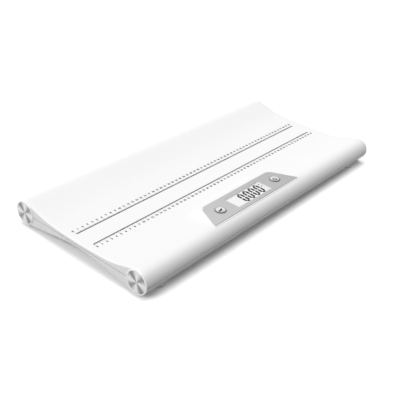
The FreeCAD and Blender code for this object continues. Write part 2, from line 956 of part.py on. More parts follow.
def upper_shell():
    """The tray, with the console raised on the front roll."""
    outside = skin().fuse(console_body()).common(above(mid_z))
    inside = hollow().fuse(console_hollow()).common(above(mid_z))
    shell = outside.cut(inside)
    bosses = [post(x, y, mid_z, top_z, boss_radius) for x, y in case_screw_places()]
    bosses += [
        post(x, y, board_top, plate_floor + bond, small_boss_radius)
        for x, y in board_screw_places()
    ]
    inner = inside.common(Part.makeCompound(bosses))
    parts = [shell] + inner.Solids + ribs(inside, mid_z + rib_gap, top_z).Solids
    solid = joined(parts)
    screw_tip = mid_z - sleeve_floor + screw_length + pilot_room
    pilot = screw_radius + screw_clearance
    pilots = [post(x, y, mid_z - past, screw_tip, pilot) for x, y in case_screw_places()]
    board_tip = board_floor + small_screw_length + screw_clearance
    pilot = small_screw_radius + screw_clearance
    pilots += [post(x, y, board_top - past, board_tip, pilot) for x, y in board_screw_places()]
    cuts = pilots + console_openings() + cap_bores()
    return solid.cut(Part.makeCompound(cuts))


def seam_groove():
    """A fine groove round the top of the lower shell, seen as the parting line."""
    slab = box(-far, far, -far, far, mid_z - seam_height, mid_z)
    core = tray_prism(seam_depth, shell_length - 2 * seam_depth)
    return slab.cut(core)


def locating_lip():
    """Two ribs on the lower shell that stand just inside the upper shell's long walls."""
    half = shell_length / 2 - end_wall - lip_end_gap
    inner = tray_prism(wall + lip_clearance + lip_thickness, far)
    root = tray_prism(wall - bond, far).cut(inner)
    root = root.common(box(-half, half, -far, far, mid_z - lip_height, mid_z))
    tongue = tray_prism(wall + lip_clearance, far).cut(inner)
    tongue = tongue.common(box(-half, half, -far, far, mid_z, mid_z + lip_height))
    both = root.fuse(tongue)
    return both.cut(box(-far, far, -roll_y, roll_y, -far, far)).Solids


def foot_guides():
    """Round guides for the feet and posts for the clamps, on the floor of the rolls."""
    solids = []
    for _, end, side in corners:
        x, y = foot_place(end, side)
        outer = foot_radius + foot_flange + running_gap + guide_wall
        solids.append(post(x, y, 0, cell_floor, outer))
        ears = clamp_screw_places(end, side)
        solids += [post(a, b, 0, cell_top, clamp_post_radius) for a, b in ears]
    return solids


def foot_bores():
    solids = []
    for _, end, side in corners:
        x, y = foot_place(end, side)
        solids.append(post(x, y, -past, cell_floor, foot_radius + running_gap))
        wide = foot_radius + foot_flange + running_gap
        solids.append(post(x, y, flange_floor - running_gap, cell_floor, wide))
        low = cell_top + clamp_thickness - small_screw_length - pilot_room
        pilot = small_screw_radius + screw_clearance
        solids += [post(a, b, low, cell_top, pilot) for a, b in clamp_screw_places(end, side)]
    return solids


def lower_shell():
    """The base: guides for the feet, sleeves for the case screws and the battery bay."""
    outside = skin().common(below(mid_z)).cut(seam_groove())
    inside = hollow().common(below(mid_z))
    shell = outside.cut(inside)
    posts = [post(x, y, 0, mid_z, sleeve_radius) for x, y in case_screw_places()]
    inner = inside.common(Part.makeCompound(posts))
    guides = inside.common(Part.makeCompound(foot_guides()))
    parts = [shell] + inner.Solids + guides.Solids + locating_lip()
    parts += ribs(inside, 0, mid_z - rib_gap).Solids
    solid = joined(parts + [bay_block()])
    seat = mid_z - sleeve_floor
    clear = screw_radius + screw_clearance + lip_clearance
    bores = [post(x, y, -past, seat, sleeve_bore) for x, y in case_screw_places()]
    bores += [post(x, y, seat - past, mid_z, clear) for x, y in case_screw_places()]
    return solid.cut(Part.makeCompound(bores + foot_bores() + bay_cuts() + cap_bores()))


# ---------------------------------------------------------------- end caps


def lathe_x(end, side, outline):
    """A solid of revolution about a roll's axis; outline is (radius, distance out from the shell)."""
    face_x = end * shell_length / 2
    y = side * roll_y
    points = [vec(face_x + end * out, y + radius, mid_z) for radius, out in outline]
    face = Part.Face(Part.makePolygon(points + points[:1]))
    return face.revolve(vec(face_x, y, mid_z), vec(1, 0, 0), 360)


def end_cap(end, side):
    """A plug with a spigot in the roll, a flange on the shell and a recess for the disc."""
    recess = disc_radius + disc_clearance
    floor = cap_flange - disc_thickness
    inner = spigot_radius - spigot_wall
    outline = [
        (0, floor - spigot_wall),
        (inner, floor - spigot_wall),
        (inner, -spigot_length),
        (spigot_radius, -spigot_length),
        (spigot_radius, 0),
        (cap_radius, 0),
        (cap_radius, cap_flange - cap_chamfer),
        (cap_radius - cap_chamfer, cap_flange),
        (recess, cap_flange),
        (recess, floor),
        (0, floor),
    ]
    return lathe_x(end, side, outline)


def end_disc(end, side):
    floor = cap_flange - disc_thickness
    outline = [(0, floor), (disc_radius, floor), (disc_radius, cap_flange), (0, cap_flange - disc_dish)]
    return lathe_x(end, side, outline)


# ---------------------------------------------------------------- all nodes


def all_parts():
    parts = {
        "upper_shell": upper_shell(),
        "lower_shell": lower_shell(),
        "console_panel": console_panel(),
        "display_lens": display_lens(),
        "lcd_glass": lcd_glass(),
        "lcd_frame": lcd_frame(),
        "zebra_connector": zebra_connector(),
        "backlight_panel": backlight_panel(),
        "main_board": main_board(),
        "control_chip": control_chip(),
        "lead_sockets": lead_sockets(),
        "board_screws": board_screws(),
        "case_screws": case_screws(),
        "cell_clamps": cell_clamps(),
        "clamp_screws": clamp_screws(),
        "battery_door": battery_door(),
        "batteries": batteries(),
        "battery_plates": battery_plates(),
        "battery_springs": battery_springs(),
        "battery_leads": battery_leads(),
    }
    for name, x in button_places().items():
        parts["button_" + name] = button(x)
        parts["key_dome_" + name] = key_dome(x)
        parts["key_pill_" + name] = key_pill(x)
    for name, end, side in corners:
        parts["foot_cup_" + name] = foot_cup(end, side)
        parts["foot_pad_" + name] = foot_pad(end, side)
        parts["load_cell_" + name] = load_cell(end, side)
        parts["cell_lead_" + name] = cell_lead(end, side)
        parts["end_cap_" + name] = end_cap(end, side)
        parts["end_disc_" + name] = end_disc(end, side)
    return parts


os.makedirs("parts", exist_ok=True)
for node, shape in all_parts().items():
    shape.exportStep("parts/" + node + ".step")
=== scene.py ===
# %% [markdown]
# # A digital baby weighing scale
# This lesson dresses the bare model of a baby scale for a studio picture. The scale is a
# long dished tray between two rolls, with a console on the front roll. The model arrives as
# a frame of plain parts that move on their joints. The shape and the joints stay as they
# are, and this script gives the parts their smooth surfaces, prints and finishes.

# %% Load the frame
import json
import math

import bmesh
import bpy
from mathutils import Matrix, Vector


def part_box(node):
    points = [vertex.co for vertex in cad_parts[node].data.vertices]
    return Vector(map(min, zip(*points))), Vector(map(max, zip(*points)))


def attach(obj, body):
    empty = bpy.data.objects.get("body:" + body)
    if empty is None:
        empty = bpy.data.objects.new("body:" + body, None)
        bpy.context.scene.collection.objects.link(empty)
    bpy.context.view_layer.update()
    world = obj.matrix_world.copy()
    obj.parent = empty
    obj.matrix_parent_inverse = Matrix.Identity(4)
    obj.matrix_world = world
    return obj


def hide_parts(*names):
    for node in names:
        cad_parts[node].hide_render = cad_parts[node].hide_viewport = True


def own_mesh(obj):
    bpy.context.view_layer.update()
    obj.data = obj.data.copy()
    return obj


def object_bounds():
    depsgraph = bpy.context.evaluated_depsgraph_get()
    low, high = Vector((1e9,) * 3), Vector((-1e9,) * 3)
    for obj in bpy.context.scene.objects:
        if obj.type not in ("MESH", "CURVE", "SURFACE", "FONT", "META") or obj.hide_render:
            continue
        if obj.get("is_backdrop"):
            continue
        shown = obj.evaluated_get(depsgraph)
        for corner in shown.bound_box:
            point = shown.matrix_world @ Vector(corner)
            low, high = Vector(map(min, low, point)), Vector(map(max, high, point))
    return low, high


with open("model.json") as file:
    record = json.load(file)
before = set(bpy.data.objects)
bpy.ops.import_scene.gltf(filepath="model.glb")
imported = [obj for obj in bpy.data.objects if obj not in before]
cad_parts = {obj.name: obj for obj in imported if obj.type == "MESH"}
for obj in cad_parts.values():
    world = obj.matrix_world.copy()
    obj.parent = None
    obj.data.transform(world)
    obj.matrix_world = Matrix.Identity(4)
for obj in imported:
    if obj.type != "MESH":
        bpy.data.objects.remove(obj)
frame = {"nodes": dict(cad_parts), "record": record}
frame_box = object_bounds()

print("parts in the frame:", len(frame["nodes"]))

# %% [markdown]
# ## Measures
# Everything is worked out from the boxes of the frame's own parts, in metres, so that what
# is modelled here lies exactly where the bare parts lie. The tray's section is a smooth row
# of arcs, and a box can't tell those, so their radii are given again as named values.

# %% Measures taken from the frame
mm = 0.001


def box(node):
    """Both corners of a bare part's box."""
    return [Vector(corner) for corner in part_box(node)]


def middle_x(node):
    """The middle of a bare part along the tray."""
    return sum(corner[0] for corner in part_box(node)) / 2


shell_low, shell_high = box("upper_shell")
panel_low, panel_high = box("console_panel")
lens_low, lens_high = box("display_lens")
glass_low, glass_high = box("lcd_glass")
seam_z, top_z = shell_low.z, shell_high.z
half_length = shell_high.x
roll_radius = top_z - seam_z
roll_y = shell_high.y - roll_radius
console_x = (panel_low.x + panel_high.x) / 2
display_x = (lens_low.x + lens_high.x) / 2
display_y = (lens_low.y + lens_high.y) / 2
panel_floor = panel_low.z
ends = {"left": -1, "right": 1}
sides = {"front": -1, "back": 1}
corners = [(a + "_" + b, ends[b], sides[a]) for a in sides for b in ends]
record = frame["record"]
body_of = {node: body for body, nodes in record["behaviour"]["bodies"].items() for node in nodes}
slot_of = {part["node"]: part["material_slot"] for part in record["subparts"]}
print("seam height", round(seam_z, 4), "roll radius", round(roll_radius, 4))

# %% The arcs of the tray's section
dish_rise = 4.1 * mm  # of the tray's middle over the seam
dish_radius = 900 * mm
shoulder_radius = 170 * mm
slope_angle = math.radians(16)  # of the tray where it runs up to a roll
belly_drop = 4.3 * mm  # of the underside's middle below the seam
belly_radius = 240 * mm
wall = 2.5 * mm
edge_round = 0.9 * mm


def arc(centre, radius, start, end, steps):
    """Points (y, z) on an arc; the angles go anticlockwise from +Y."""
    turns = [start + (end - start) * i / steps for i in range(steps + 1)]
    return [(centre[0] + radius * math.cos(a), centre[1] + radius * math.sin(a)) for a in turns]


def line(start, end, steps):
    """Points between start and end, without either."""
    parts = [i / steps for i in range(1, steps)]
    return [tuple(a + (b - a) * t for a, b in zip(start, end)) for t in parts]


def top_half(steps, inset=0.0):
    """The tray's upper line from its middle out to the side of a roll, over the seam.

    The steps are those of the dish, the shoulder, the slope and the roll, and an inset gives
    the same line on the inside of the wall.
    """
    dish_steps, shoulder_steps, slope_steps, roll_steps = steps
    spread = dish_radius - shoulder_radius
    level = math.cos(slope_angle) * (dish_rise + dish_radius) - shoulder_radius - roll_radius
    turn = slope_angle - math.acos((level + roll_y * math.sin(slope_angle)) / spread)
    down = -math.pi / 2
    middle = (0, dish_rise + dish_radius)
    dish = arc(middle, dish_radius + inset, down, down + turn, dish_steps)
    centre = (spread * math.sin(turn), middle[1] - spread * math.cos(turn))
    bend = shoulder_radius + inset
    shoulder = arc(centre, bend, down + turn, down + slope_angle, shoulder_steps)
    roll = arc((roll_y, 0), roll_radius - inset, math.pi / 2 + slope_angle, 0, roll_steps)
    return dish + shoulder[1:] + line(shoulder[-1], roll[0], slope_steps) + roll


def belly_slope():
    """The steepest angle of the underside."""
    centre = belly_drop + belly_radius
    lean = math.acos((roll_radius + belly_radius) / math.hypot(centre, roll_y))
    return math.atan2(roll_y, centre) - lean


def belly_half(steps, inset=0.0):
    """The underside's line from its middle out to the side of a roll.

    The steps are those of the belly, the slope and the roll.
    """
    arc_steps, slope_steps, roll_steps = steps
    slope = belly_slope()
    up = math.pi / 2
    middle = (0, -belly_drop - belly_radius)
    bend = arc(middle, belly_radius + inset, up, up - slope, arc_steps)
    roll = arc((roll_y, 0), roll_radius - inset, -up - slope, 0, roll_steps)
    return bend + line(bend[-1], roll[0], slope_steps) + roll


def whole(half, front_steps, back_steps, inset=0.0):
    """Both halves of a section, as one row of points from the front roll to the back one."""
    front, back = half(front_steps, inset), half(back_steps, inset)
    return [(-y, z) for y, z in reversed(front)] + back[1:]


print("slope of the underside:", round(math.degrees(belly_slope()), 1), "degrees")

# %% [markdown]
# ## The camera
# The picture is taken from the scale's left end, a little above the table. A camera could be
# turned until the view looks right. Here its three directions are worked out from the
# heading, the dip and the tilt, so that each of the angles can be changed by itself.

# %% Camera
eye = Vector((-879.5, -665.0, 631.1)) * mm
heading = math.radians(37.96)  # of the line of sight, from +X towards +Y
dip = math.radians(30.81)
tilt = math.radians(4.79)  # of the camera about its line of sight
focal = 684 / 400  # in widths of the picture

ahead = Vector(
    (math.cos(heading) * math.cos(dip), math.sin(heading) * math.cos(dip), -math.sin(dip))
)
level_right = ahead.cross(Vector((0, 0, 1))).normalized()
level_up = level_right.cross(ahead)
right = level_right * math.cos(tilt) + level_up * math.sin(tilt)
up = right.cross(ahead)
bpy.ops.object.camera_add(location=eye)
camera = bpy.context.object
camera.matrix_world = Matrix((right, up, -ahead)).transposed().to_4x4()
camera.location = eye
camera.data.sensor_width = 36
camera.data.lens = focal * camera.data.sensor_width
camera.data.clip_start = 0.01
camera.data.clip_end = 50
bpy.context.scene.camera = camera
bpy.context.scene.view_settings.view_transform = "Standard"
print("lens", round(camera.data.lens, 1), "mm")

# %% [markdown]
# ## Shader maths as plain Python
# A material is a net of small nodes, and a net drawn by hand is hard to read back. So a
# socket is wrapped in a class that knows the usual operators, and every other node comes
# from one method. A finish is then a few lines of arithmetic.


# %% A socket that can be added and multiplied
class Signal:
    """A number that varies over a surface."""

    def __init__(self, paint, socket):
        self.paint = paint
        self.socket = socket

    def maths(self, operation, *values):
        """The outcome of a Math node on these values."""
        made = self.paint.node("ShaderNodeMath", {"operation": operation}, dict(enumerate(values)))
        return Signal(self.paint, made.outputs[0])

    def __add__(self, other):
        return self.maths("ADD", self, other)

    def __sub__(self, other):
        return self.maths("SUBTRACT", self, other)

    def __rsub__(self, other):
        return self.maths("SUBTRACT", other, self)

    def __mul__(self, other):
        return self.maths("MULTIPLY", self, other)

    def __truediv__(self, other):
        return self.maths("DIVIDE", self, other)

    def __rtruediv__(self, other):
        return self.maths("DIVIDE", other, self)

    __radd__ = __add__
    __rmul__ = __mul__

    def power(self, other):
        return self.maths("POWER", self, other)

    def below(self, other):
        return self.maths("LESS_THAN", self, other)

    def at_least(self, other):
        return self.maths("MAXIMUM", self, other)

    def at_most(self, other):
        return self.maths("MINIMUM", self, other)

    def sine(self):
        return self.maths("SINE", self)

    def cosine(self):
        return self.maths("COSINE", self)

    def sign(self):
        return self.maths("SIGN", self)

    def size(self):
        return self.maths("ABSOLUTE", self)


print("a wrapped socket knows + - * /")


# %% A material and its nodes
class Paint:
    """A material under construction."""

    def __init__(self, name, **plain):
        self.material = bpy.data.materials.new(name)
        self.material.use_nodes = True
        self.tree = self.material.node_tree
        self.shader = self.tree.nodes["Principled BSDF"]
        self.set(**plain)

    def set(self, **values):
        """Feeds the shader's sockets; a space in a socket's name is written as _."""
        for socket, value in values.items():
            self.feed(self.shader.inputs[socket.replace("_", " ")], value)
        return self.material

    def feed(self, socket, value):
        if isinstance(value, Signal):
            value = value.socket
        if isinstance(value, bpy.types.NodeSocket):
            self.tree.links.new(value, socket)
        elif socket.type == "RGBA":
            socket.default_value = (*value, 1)
        else:
            socket.default_value = value

    def node(self, kind, settings=None, sockets=None):
        """A node of any kind, with its settings and then its sockets."""
        made = self.tree.nodes.new(kind)
        for key, value in (settings or {}).items():
            setattr(made, key, value)
        for key, value in (sockets or {}).items():
            self.feed(made.inputs[key], value)
        return made

    def place(self):
        return self.node("ShaderNodeTexCoord").outputs["Object"]

    def along(self, axis):
        parts = self.node("ShaderNodeSeparateXYZ", None, {"Vector": self.place()})
        return Signal(self, parts.outputs[axis])

    def noise(self, scale, detail=2, stretch=(1, 1, 1)):
        """Smooth noise from 0 to 1; scale is in spots for each metre."""
        mapped = self.node("ShaderNodeMapping", None, {"Vector": self.place(), "Scale": stretch})
        sockets = {"Vector": mapped.outputs[0], "Scale": scale, "Detail": detail}
        return Signal(self, self.node("ShaderNodeTexNoise", None, sockets).outputs[0])

    def mix(self, amount, first, second):
        """Colour that goes from first to second as amount goes from 0 to 1.

        A Mix node has sockets for each type of data: 6, 7 and output 2 are those for colours.
        """
        sockets = {"Factor": amount, 6: first, 7: second}
        return self.node("ShaderNodeMix", {"data_type": "RGBA"}, sockets).outputs[2]

    def bump(self, height, depth):
        """Relief of that depth in metres, where height goes from 0 to 1."""
        sockets = {"Height": height, "Distance": depth}
        return self.node("ShaderNodeBump", None, sockets).outputs[0]


print("shader helpers are ready")

# %% [markdown]
# ## The table, the walls and the lamps
# In a studio one large soft lamp hangs over the table, another stands at the scale's left
# end, and the walls are pale. Two wide suns and a plain world do the same here, and a sun
# lights the whole scale evenly. The ground has to be white. More light would make it so, but
# would wash out the white plastic. So the table is bright for the eye and throws little
# light back, and it still takes the scale's shadow.

# %% Table
table_seen = 1.4  # brightness of the table for the eye
table_bounce = 0.08  # and for the light that it throws back

bpy.ops.mesh.primitive_plane_add(size=14)
table = bpy.context.object
table.name = "table"
ground = Paint("table_white")
bounced = Signal(ground, ground.node("ShaderNodeLightPath").outputs["Is Diffuse Ray"])
shade = ground.mix(bounced, (table_seen,) * 3, (table_bounce,) * 3)
matt = ground.node("ShaderNodeBsdfDiffuse", None, {"Color": shade})
ground.feed(ground.tree.nodes["Material Output"].inputs["Surface"], matt.outputs[0])
table.data.materials.append(ground.material)
table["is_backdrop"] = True
print("table:", table_seen, "for the eye,", table_bounce, "for the scale")

# %% Walls and lamps
walls_seen = 1.0  # white for the eye and in what is glossy
walls_light = 0.40  # and as light on the scale
lamps = {
    # name: the direction that it shines from, its strength, and its softness in degrees
    "key": ((0.2, 0.02, 1.0), 1.14, 50),
    "fill": ((-1.0, 0.3, 0.7), 1.65, 40),
}

world = bpy.data.worlds.new("studio")
world.use_nodes = True
bpy.context.scene.world = world
net = world.node_tree
rays = net.nodes.new("ShaderNodeLightPath")
level = net.nodes.new("ShaderNodeMapRange")
level.inputs["To Min"].default_value = walls_seen
level.inputs["To Max"].default_value = walls_light
net.links.new(rays.outputs["Is Diffuse Ray"], level.inputs["Value"])
net.links.new(level.outputs[0], net.nodes["Background"].inputs["Strength"])
net.nodes["Background"].inputs["Color"].default_value = (1, 1, 1, 1)

for name, (towards, strength, softness) in lamps.items():
    bpy.ops.object.light_add(type="SUN")
    lamp = bpy.context.object
    lamp.name = name
    lamp.data.energy = strength
    lamp.data.angle = math.radians(softness)
    lamp.rotation_euler = Vector(towards).to_track_quat("Z", "Y").to_euler()
print("lamps:", ", ".join(lamps))

# %% [markdown]
# ## Small tools for modelling
# Most steps below are Blender's own editing tools, called by name. An operator acts on all
# that is selected, so these helpers clear the selection first, pick edges or faces by their
# place, and apply a modifier as soon as it is added.


# %% Selecting and applying
def alone(obj):
    """Only obj is selected, and it is the active object."""
    bpy.ops.object.select_all(action="DESELECT")
    obj.select_set(True)
    bpy.context.view_layer.objects.active = obj


def edit(obj, kind, wanted=lambda part: True):
    """Edit mode, with only the parts of that kind, EDGE or FACE, that wanted picks."""
    alone(obj)
    bpy.ops.object.mode_set(mode="EDIT")
    bpy.ops.mesh.select_mode(type=kind)
    bpy.ops.mesh.select_all(action="DESELECT")
    mesh = bmesh.from_edit_mesh(obj.data)
    for part in mesh.faces if kind == "FACE" else mesh.edges:
        part.select_set(wanted(part))
    bmesh.update_edit_mesh(obj.data)


def leave():
    """Back from edit mode."""
    bpy.ops.object.mode_set(mode="OBJECT")


def lies_at(edge, axis, place):
    """Whether both ends of an edge lie at that place; the axis is 0 for X and 2 for Z."""
    return all(abs(v.co[axis] - place) < 0.01 * mm for v in edge.verts)


def stands(edge):
    """Whether an edge is upright."""
    a, b = (v.co for v in edge.verts)
    return abs(a.z - b.z) > (a - b).length / 2


def apply(obj, kind, **settings):
    """Adds a modifier with these settings and applies it."""
    alone(obj)
    modifier = obj.modifiers.new(kind.lower(), kind)
    for key, value in settings.items():
        setattr(modifier, key, value)
    bpy.ops.object.modifier_apply(modifier=modifier.name)


def round_edges(obj, width, segments, angle):
    """Rounds the edges that turn by more than that angle in degrees."""
    limit = math.radians(angle)
    apply(obj, "BEVEL", width=width, segments=segments, limit_method="ANGLE", angle_limit=limit)


def joined(objects):
    """All the objects as one."""
    alone(objects[0])
    for obj in objects:
        obj.select_set(True)
    bpy.ops.object.join()
    return bpy.context.object


def carve(obj, cutters, operation="DIFFERENCE"):
    """Cuts the cutters out of obj, or adds them to it, and deletes them."""
    cutter = joined(cutters) if len(cutters) > 1 else cutters[0]
    apply(obj, "BOOLEAN", object=cutter, operation=operation, solver="EXACT")
    bpy.data.objects.remove(cutter)


def triangles(obj):
    obj.data.calc_loop_triangles()
    return len(obj.data.loop_triangles)


smooth_angle = math.radians(35)  # faces that meet at less than this look like one surface


def settle(obj, body, slot, material, *nodes):
    """The last step of every piece: its finish, its smoothness and the body that it rides on."""
    obj.data.materials.clear()
    obj.data.materials.append(material)
    alone(obj)
    bpy.ops.object.shade_smooth_by_angle(angle=smooth_angle)
    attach(obj, body)
    if nodes:
        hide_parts(*nodes)
    return obj


print("modelling helpers are ready")

# %% [markdown]
# A bare part's mesh is loose triangles, and it stays as it is. A small piece could be
# modelled again, but its shape is already right, so a copy is merged into whole faces, which
# lets a bevel find its edges. Other pieces start as a block, a cylinder or a spun outline.


# %% Copies of the bare parts
def new_mesh(name, points, edges=(), faces=()):
    """An object with a mesh of these points, edges and faces."""
    mesh = bpy.data.meshes.new(name)
    mesh.from_pydata(points, edges, faces)
    obj = bpy.data.objects.new(name, mesh)
    bpy.context.scene.collection.objects.link(obj)
    return obj


def copy_of(node):
    """A merged copy of a bare part, with its flat faces whole again."""
    source = frame["nodes"][node]
    mesh = source.data.copy()
    mesh.transform(source.matrix_world)
    obj = bpy.data.objects.new(node + "_piece", mesh)
    bpy.context.scene.collection.objects.link(obj)
    edit(obj, "FACE")
    bpy.ops.mesh.remove_doubles(threshold=1e-6)
    bpy.ops.mesh.dissolve_limited(angle_limit=math.radians(1))
    leave()
    return obj


def dress(node, width, material):
    """A copy of a bare part, with rounded edges and its finish, in its place."""
    obj = copy_of(node)
    if width:
        round_edges(obj, width, 2, 40)
    settle(obj, body_of[node], slot_of[node], material, node)
    apply(obj, "WEIGHTED_NORMAL", keep_sharp=True)
    return obj


print("bare parts that can be copied:", len(body_of))


# %% Solids that serve as cutters, pads and caps
def cylinder(x, y, z0, z1, radius, steps=64):
    """An upright cylinder."""
    place = (x, y, (z0 + z1) / 2)
    bpy.ops.mesh.primitive_cylinder_add(vertices=steps, radius=radius, depth=z1 - z0, location=place)
    bpy.ops.object.transform_apply()
    return bpy.context.object


def slab(x, y, z0, z1, length, width, corner=0.0):
    """A flat block with rounded upright edges."""
    bpy.ops.mesh.primitive_cube_add(size=1, location=(x, y, (z0 + z1) / 2))
    obj = bpy.context.object
    obj.scale = (length, width, z1 - z0)
    bpy.ops.object.transform_apply()
    if corner:
        edit(obj, "EDGE", stands)
        bpy.ops.mesh.bevel(offset=corner, segments=8)
        leave()
    return obj


def lathe(name, outline, place, turn=0.0, steps=96):
    """Spins an outline of (radius, height) points round Z, turns it about Y and places it."""
    chain = [(i, i + 1) for i in range(len(outline) - 1)]
    obj = new_mesh(name, [(r, 0, h) for r, h in outline], chain)
    edit(obj, "EDGE")
    bpy.ops.mesh.spin(steps=steps, angle=2 * math.pi, center=(0, 0, 0), axis=(0, 0, 1))
    bpy.ops.mesh.select_all(action="SELECT")
    bpy.ops.mesh.remove_doubles(threshold=1e-6)
    bpy.ops.mesh.normals_make_consistent(inside=False)
    leave()
    obj.data.transform(Matrix.Translation(place) @ Matrix.Rotation(turn, 4, "Y"))
    return obj


print("solids are ready")

# %% [markdown]
# ## White moulded plastic
# Both shells are moulded in white plastic with a faint satin sheen. Moulded plastic is never
# quite even: its gloss changes a little from place to place, and its skin has a very fine
# grain. Both come from noise on the object's own coordinates, and the colour itself stays
# almost flat, because a white that wanders looks dirty. In the fine groove under the seam
# the light hardly reaches the plastic, so it is painted a dark grey there.

# %% White plastic
seam_height = 0.5 * mm  # of the groove round the lower shell's upper edge
plain_white = (0.90, 0.90, 0.90)


def moulded_white(name, colour, gloss, shine, dark_above=None):
    """Plastic with a fine grain; the shine is its index of refraction.

    Above the height dark_above, where there is one, the plastic is as dark as a groove.
    """
    paint = Paint(name, IOR=shine)
    cloud = paint.noise(9)
    tint = tuple(c * 0.985 for c in colour)
    grain = paint.noise(2600)
    shade = paint.mix(cloud, tint, colour)
    if dark_above:
        shade = paint.mix(paint.along("Z").below(dark_above), (0.1, 0.1, 0.1), shade)
    return paint.set(
        Base_Color=shade,
        Roughness=cloud * 0.08 + gloss,
        Normal=paint.bump(grain, 0.02 * mm),
    )


groove_low = seam_z - seam_height - 0.01 * mm
shell_white = moulded_white("shell_white", plain_white, 0.38, 1.46)
cap_white = moulded_white("cap_white", (0.93, 0.93, 0.93), 0.2, 2.3)
base_white = moulded_white("base_white", plain_white, 0.38, 1.46, groove_low)
print("white plastic is ready")

# %% [markdown]
# ## The upper shell
# The upper shell is one moulding: the tray, the upper half of both rolls and the raised
# console. It could be built as blocks that are bevelled and joined, but then the soft rise of
# the console out of the tray is hard to get. Here a flat grid is laid along the section,
# which keeps the rows exactly on the arcs, and the console's soft foot lifts the grid from
# below. The crisp top of the console is a block with bevelled edges, joined on afterwards.

# %% The console's outline
rim = 2.0 * mm  # of the shell round the fascia
foot_side = 7.6 * mm  # how far the console's soft foot spreads at its sides
foot_back = 24.0 * mm
front_half = 118.0 * mm  # half the fascia's length at its front edge
back_half = 93.5 * mm
panel_depth = 50.8 * mm
panel_corner = 16.0 * mm
front_corner = 1.5 * mm
console_front = panel_low.y - 0.15 * mm
lean = (front_half - back_half) / panel_depth


def console_corners(side, back, front):
    """The console's corners, spread outwards, anticlockwise from the front left one."""
    wide = front_half + side * math.hypot(1, lean) + front * lean
    narrow = wide - lean * (front + panel_depth + back)
    y0, y1 = console_front - front, console_front + panel_depth + back
    return [
        Vector((console_x - wide, y0)),
        Vector((console_x + wide, y0)),
        Vector((console_x + narrow, y1)),
        Vector((console_x - narrow, y1)),
    ]


def distance_outside(point, outline, rounding):
    """How far a point is outside an anticlockwise outline with rounded corners; inside, below 0.

    The outline is moved inwards by the rounding, and the distance from that smaller outline,
    less the rounding, is the answer.
    """
    walls, gaps = [], []
    for i, corner in enumerate(outline):
        edge = (outline[(i + 1) % len(outline)] - corner).normalized()
        out = Vector((edge.y, -edge.x))
        gaps.append(out.dot(point - corner))
        walls.append((corner - out * rounding, edge, out))
    if max(gaps) < -rounding:
        return max(gaps)
    smaller = []
    for i, (start, edge, _) in enumerate(walls):
        last, _, last_out = walls[i - 1]
        smaller.append(start + edge * ((last - start).dot(last_out) / edge.dot(last_out)))
    nearest = math.inf
    for i, corner in enumerate(smaller):
        span = smaller[(i + 1) % len(smaller)] - corner
        t = max(0, min(1, (point - corner).dot(span) / span.length_squared))
        nearest = min(nearest, (point - corner - span * t).length)
    return nearest - rounding


def console_height(x, y, inset):
    """Height of the console's sloping walls over the seam at a place on the tray.

    The outline grows as the walls go down, and the drop at which it reaches the place is
    found by halving.
    """
    reach = 40 * mm  # the walls run on this far in front, where the roll takes over
    halvings = 14
    low, high = 0.0, 1.0
    for _ in range(halvings):
        drop = (low + high) / 2
        side = rim + (foot_side - rim) * drop - inset
        back = rim + (foot_back - rim) * drop - inset
        outline = console_corners(side, back, reach)
        if distance_outside(Vector((x, y)), outline, panel_corner + rim - inset) > 0:
            low = drop
        else:
            high = drop
    return roll_radius * (1 - (low + high) / 2)


def soft_max(a, b, blend):
    """The larger of two heights, with a round where they cross."""
    h = max(blend - abs(a - b), 0) / blend
    return max(a, b) + h * h * blend / 4


print("console front edge", round(console_front * 1000, 1), "mm")

# %% Grid lines
wall_margin = 8 * mm  # of fine grid lines outside the console's foot
top_margin = 16 * mm  # and inside its back corners
left_wall = console_x - front_half - foot_side - wall_margin
left_top = console_x - back_half + top_margin
right_top = console_x + back_half - top_margin
right_wall = console_x + front_half + foot_side + wall_margin


def spread(*stops):
    """Places along a line: each stop is (place, step up to the next stop)."""
    places = []
    for (start, step), (end, _) in zip(stops, stops[1:]):
        count = max(1, round((end - start) / step))
        places += [start + (end - start) * i / count for i in range(count)]
    return places + [stops[-1][0]]


def along_tray(reach, plain, walls, top):
    """Grid lines along the tray; the steps are those beside, at and between the walls."""
    left = [(-reach, plain), (left_wall, walls), (left_top, top)]
    return spread(*left, (right_top, walls), (right_wall, plain), (reach, 0))


tray_x = along_tray(half_length, 8 * mm, 1.2 * mm, 6 * mm)
inner_x = along_tray(half_length - wall, 12 * mm, 3 * mm, 12 * mm)
print("grid lines along the tray:", len(tray_x))


# %% A sheet that follows a section
def sheet(name, places, section):
    """A grid with its columns at the places along X and its rows on the section's points."""
    columns, rows = len(places) - 1, len(section) - 1
    bpy.ops.object.select_all(action="DESELECT")
    bpy.ops.mesh.primitive_grid_add(x_subdivisions=columns, y_subdivisions=rows, size=1)
    obj = bpy.context.object
    obj.name = name
    for vertex in obj.data.vertices:
        y, z = section[round((vertex.co.y + 0.5) * rows)]
        vertex.co = (places[round((vertex.co.x + 0.5) * columns)], y, seam_z + z)
    return obj


def close_ends(obj, rounding=0.0):
    """Fills both ends of a sheet with a flat wall and rounds its edges."""
    reach = max(v.co.x for v in obj.data.vertices)
    for place in (-reach, reach):
        edit(obj, "EDGE", lambda e: lies_at(e, 0, place))
        bpy.ops.mesh.edge_face_add()
        leave()
    if rounding:
        edit(
            obj,
            "EDGE",
            lambda e: len(e.link_faces) == 2 and (lies_at(e, 0, -reach) or lies_at(e, 0, reach)),
        )
        bpy.ops.mesh.bevel(offset=rounding, segments=3)
        leave()


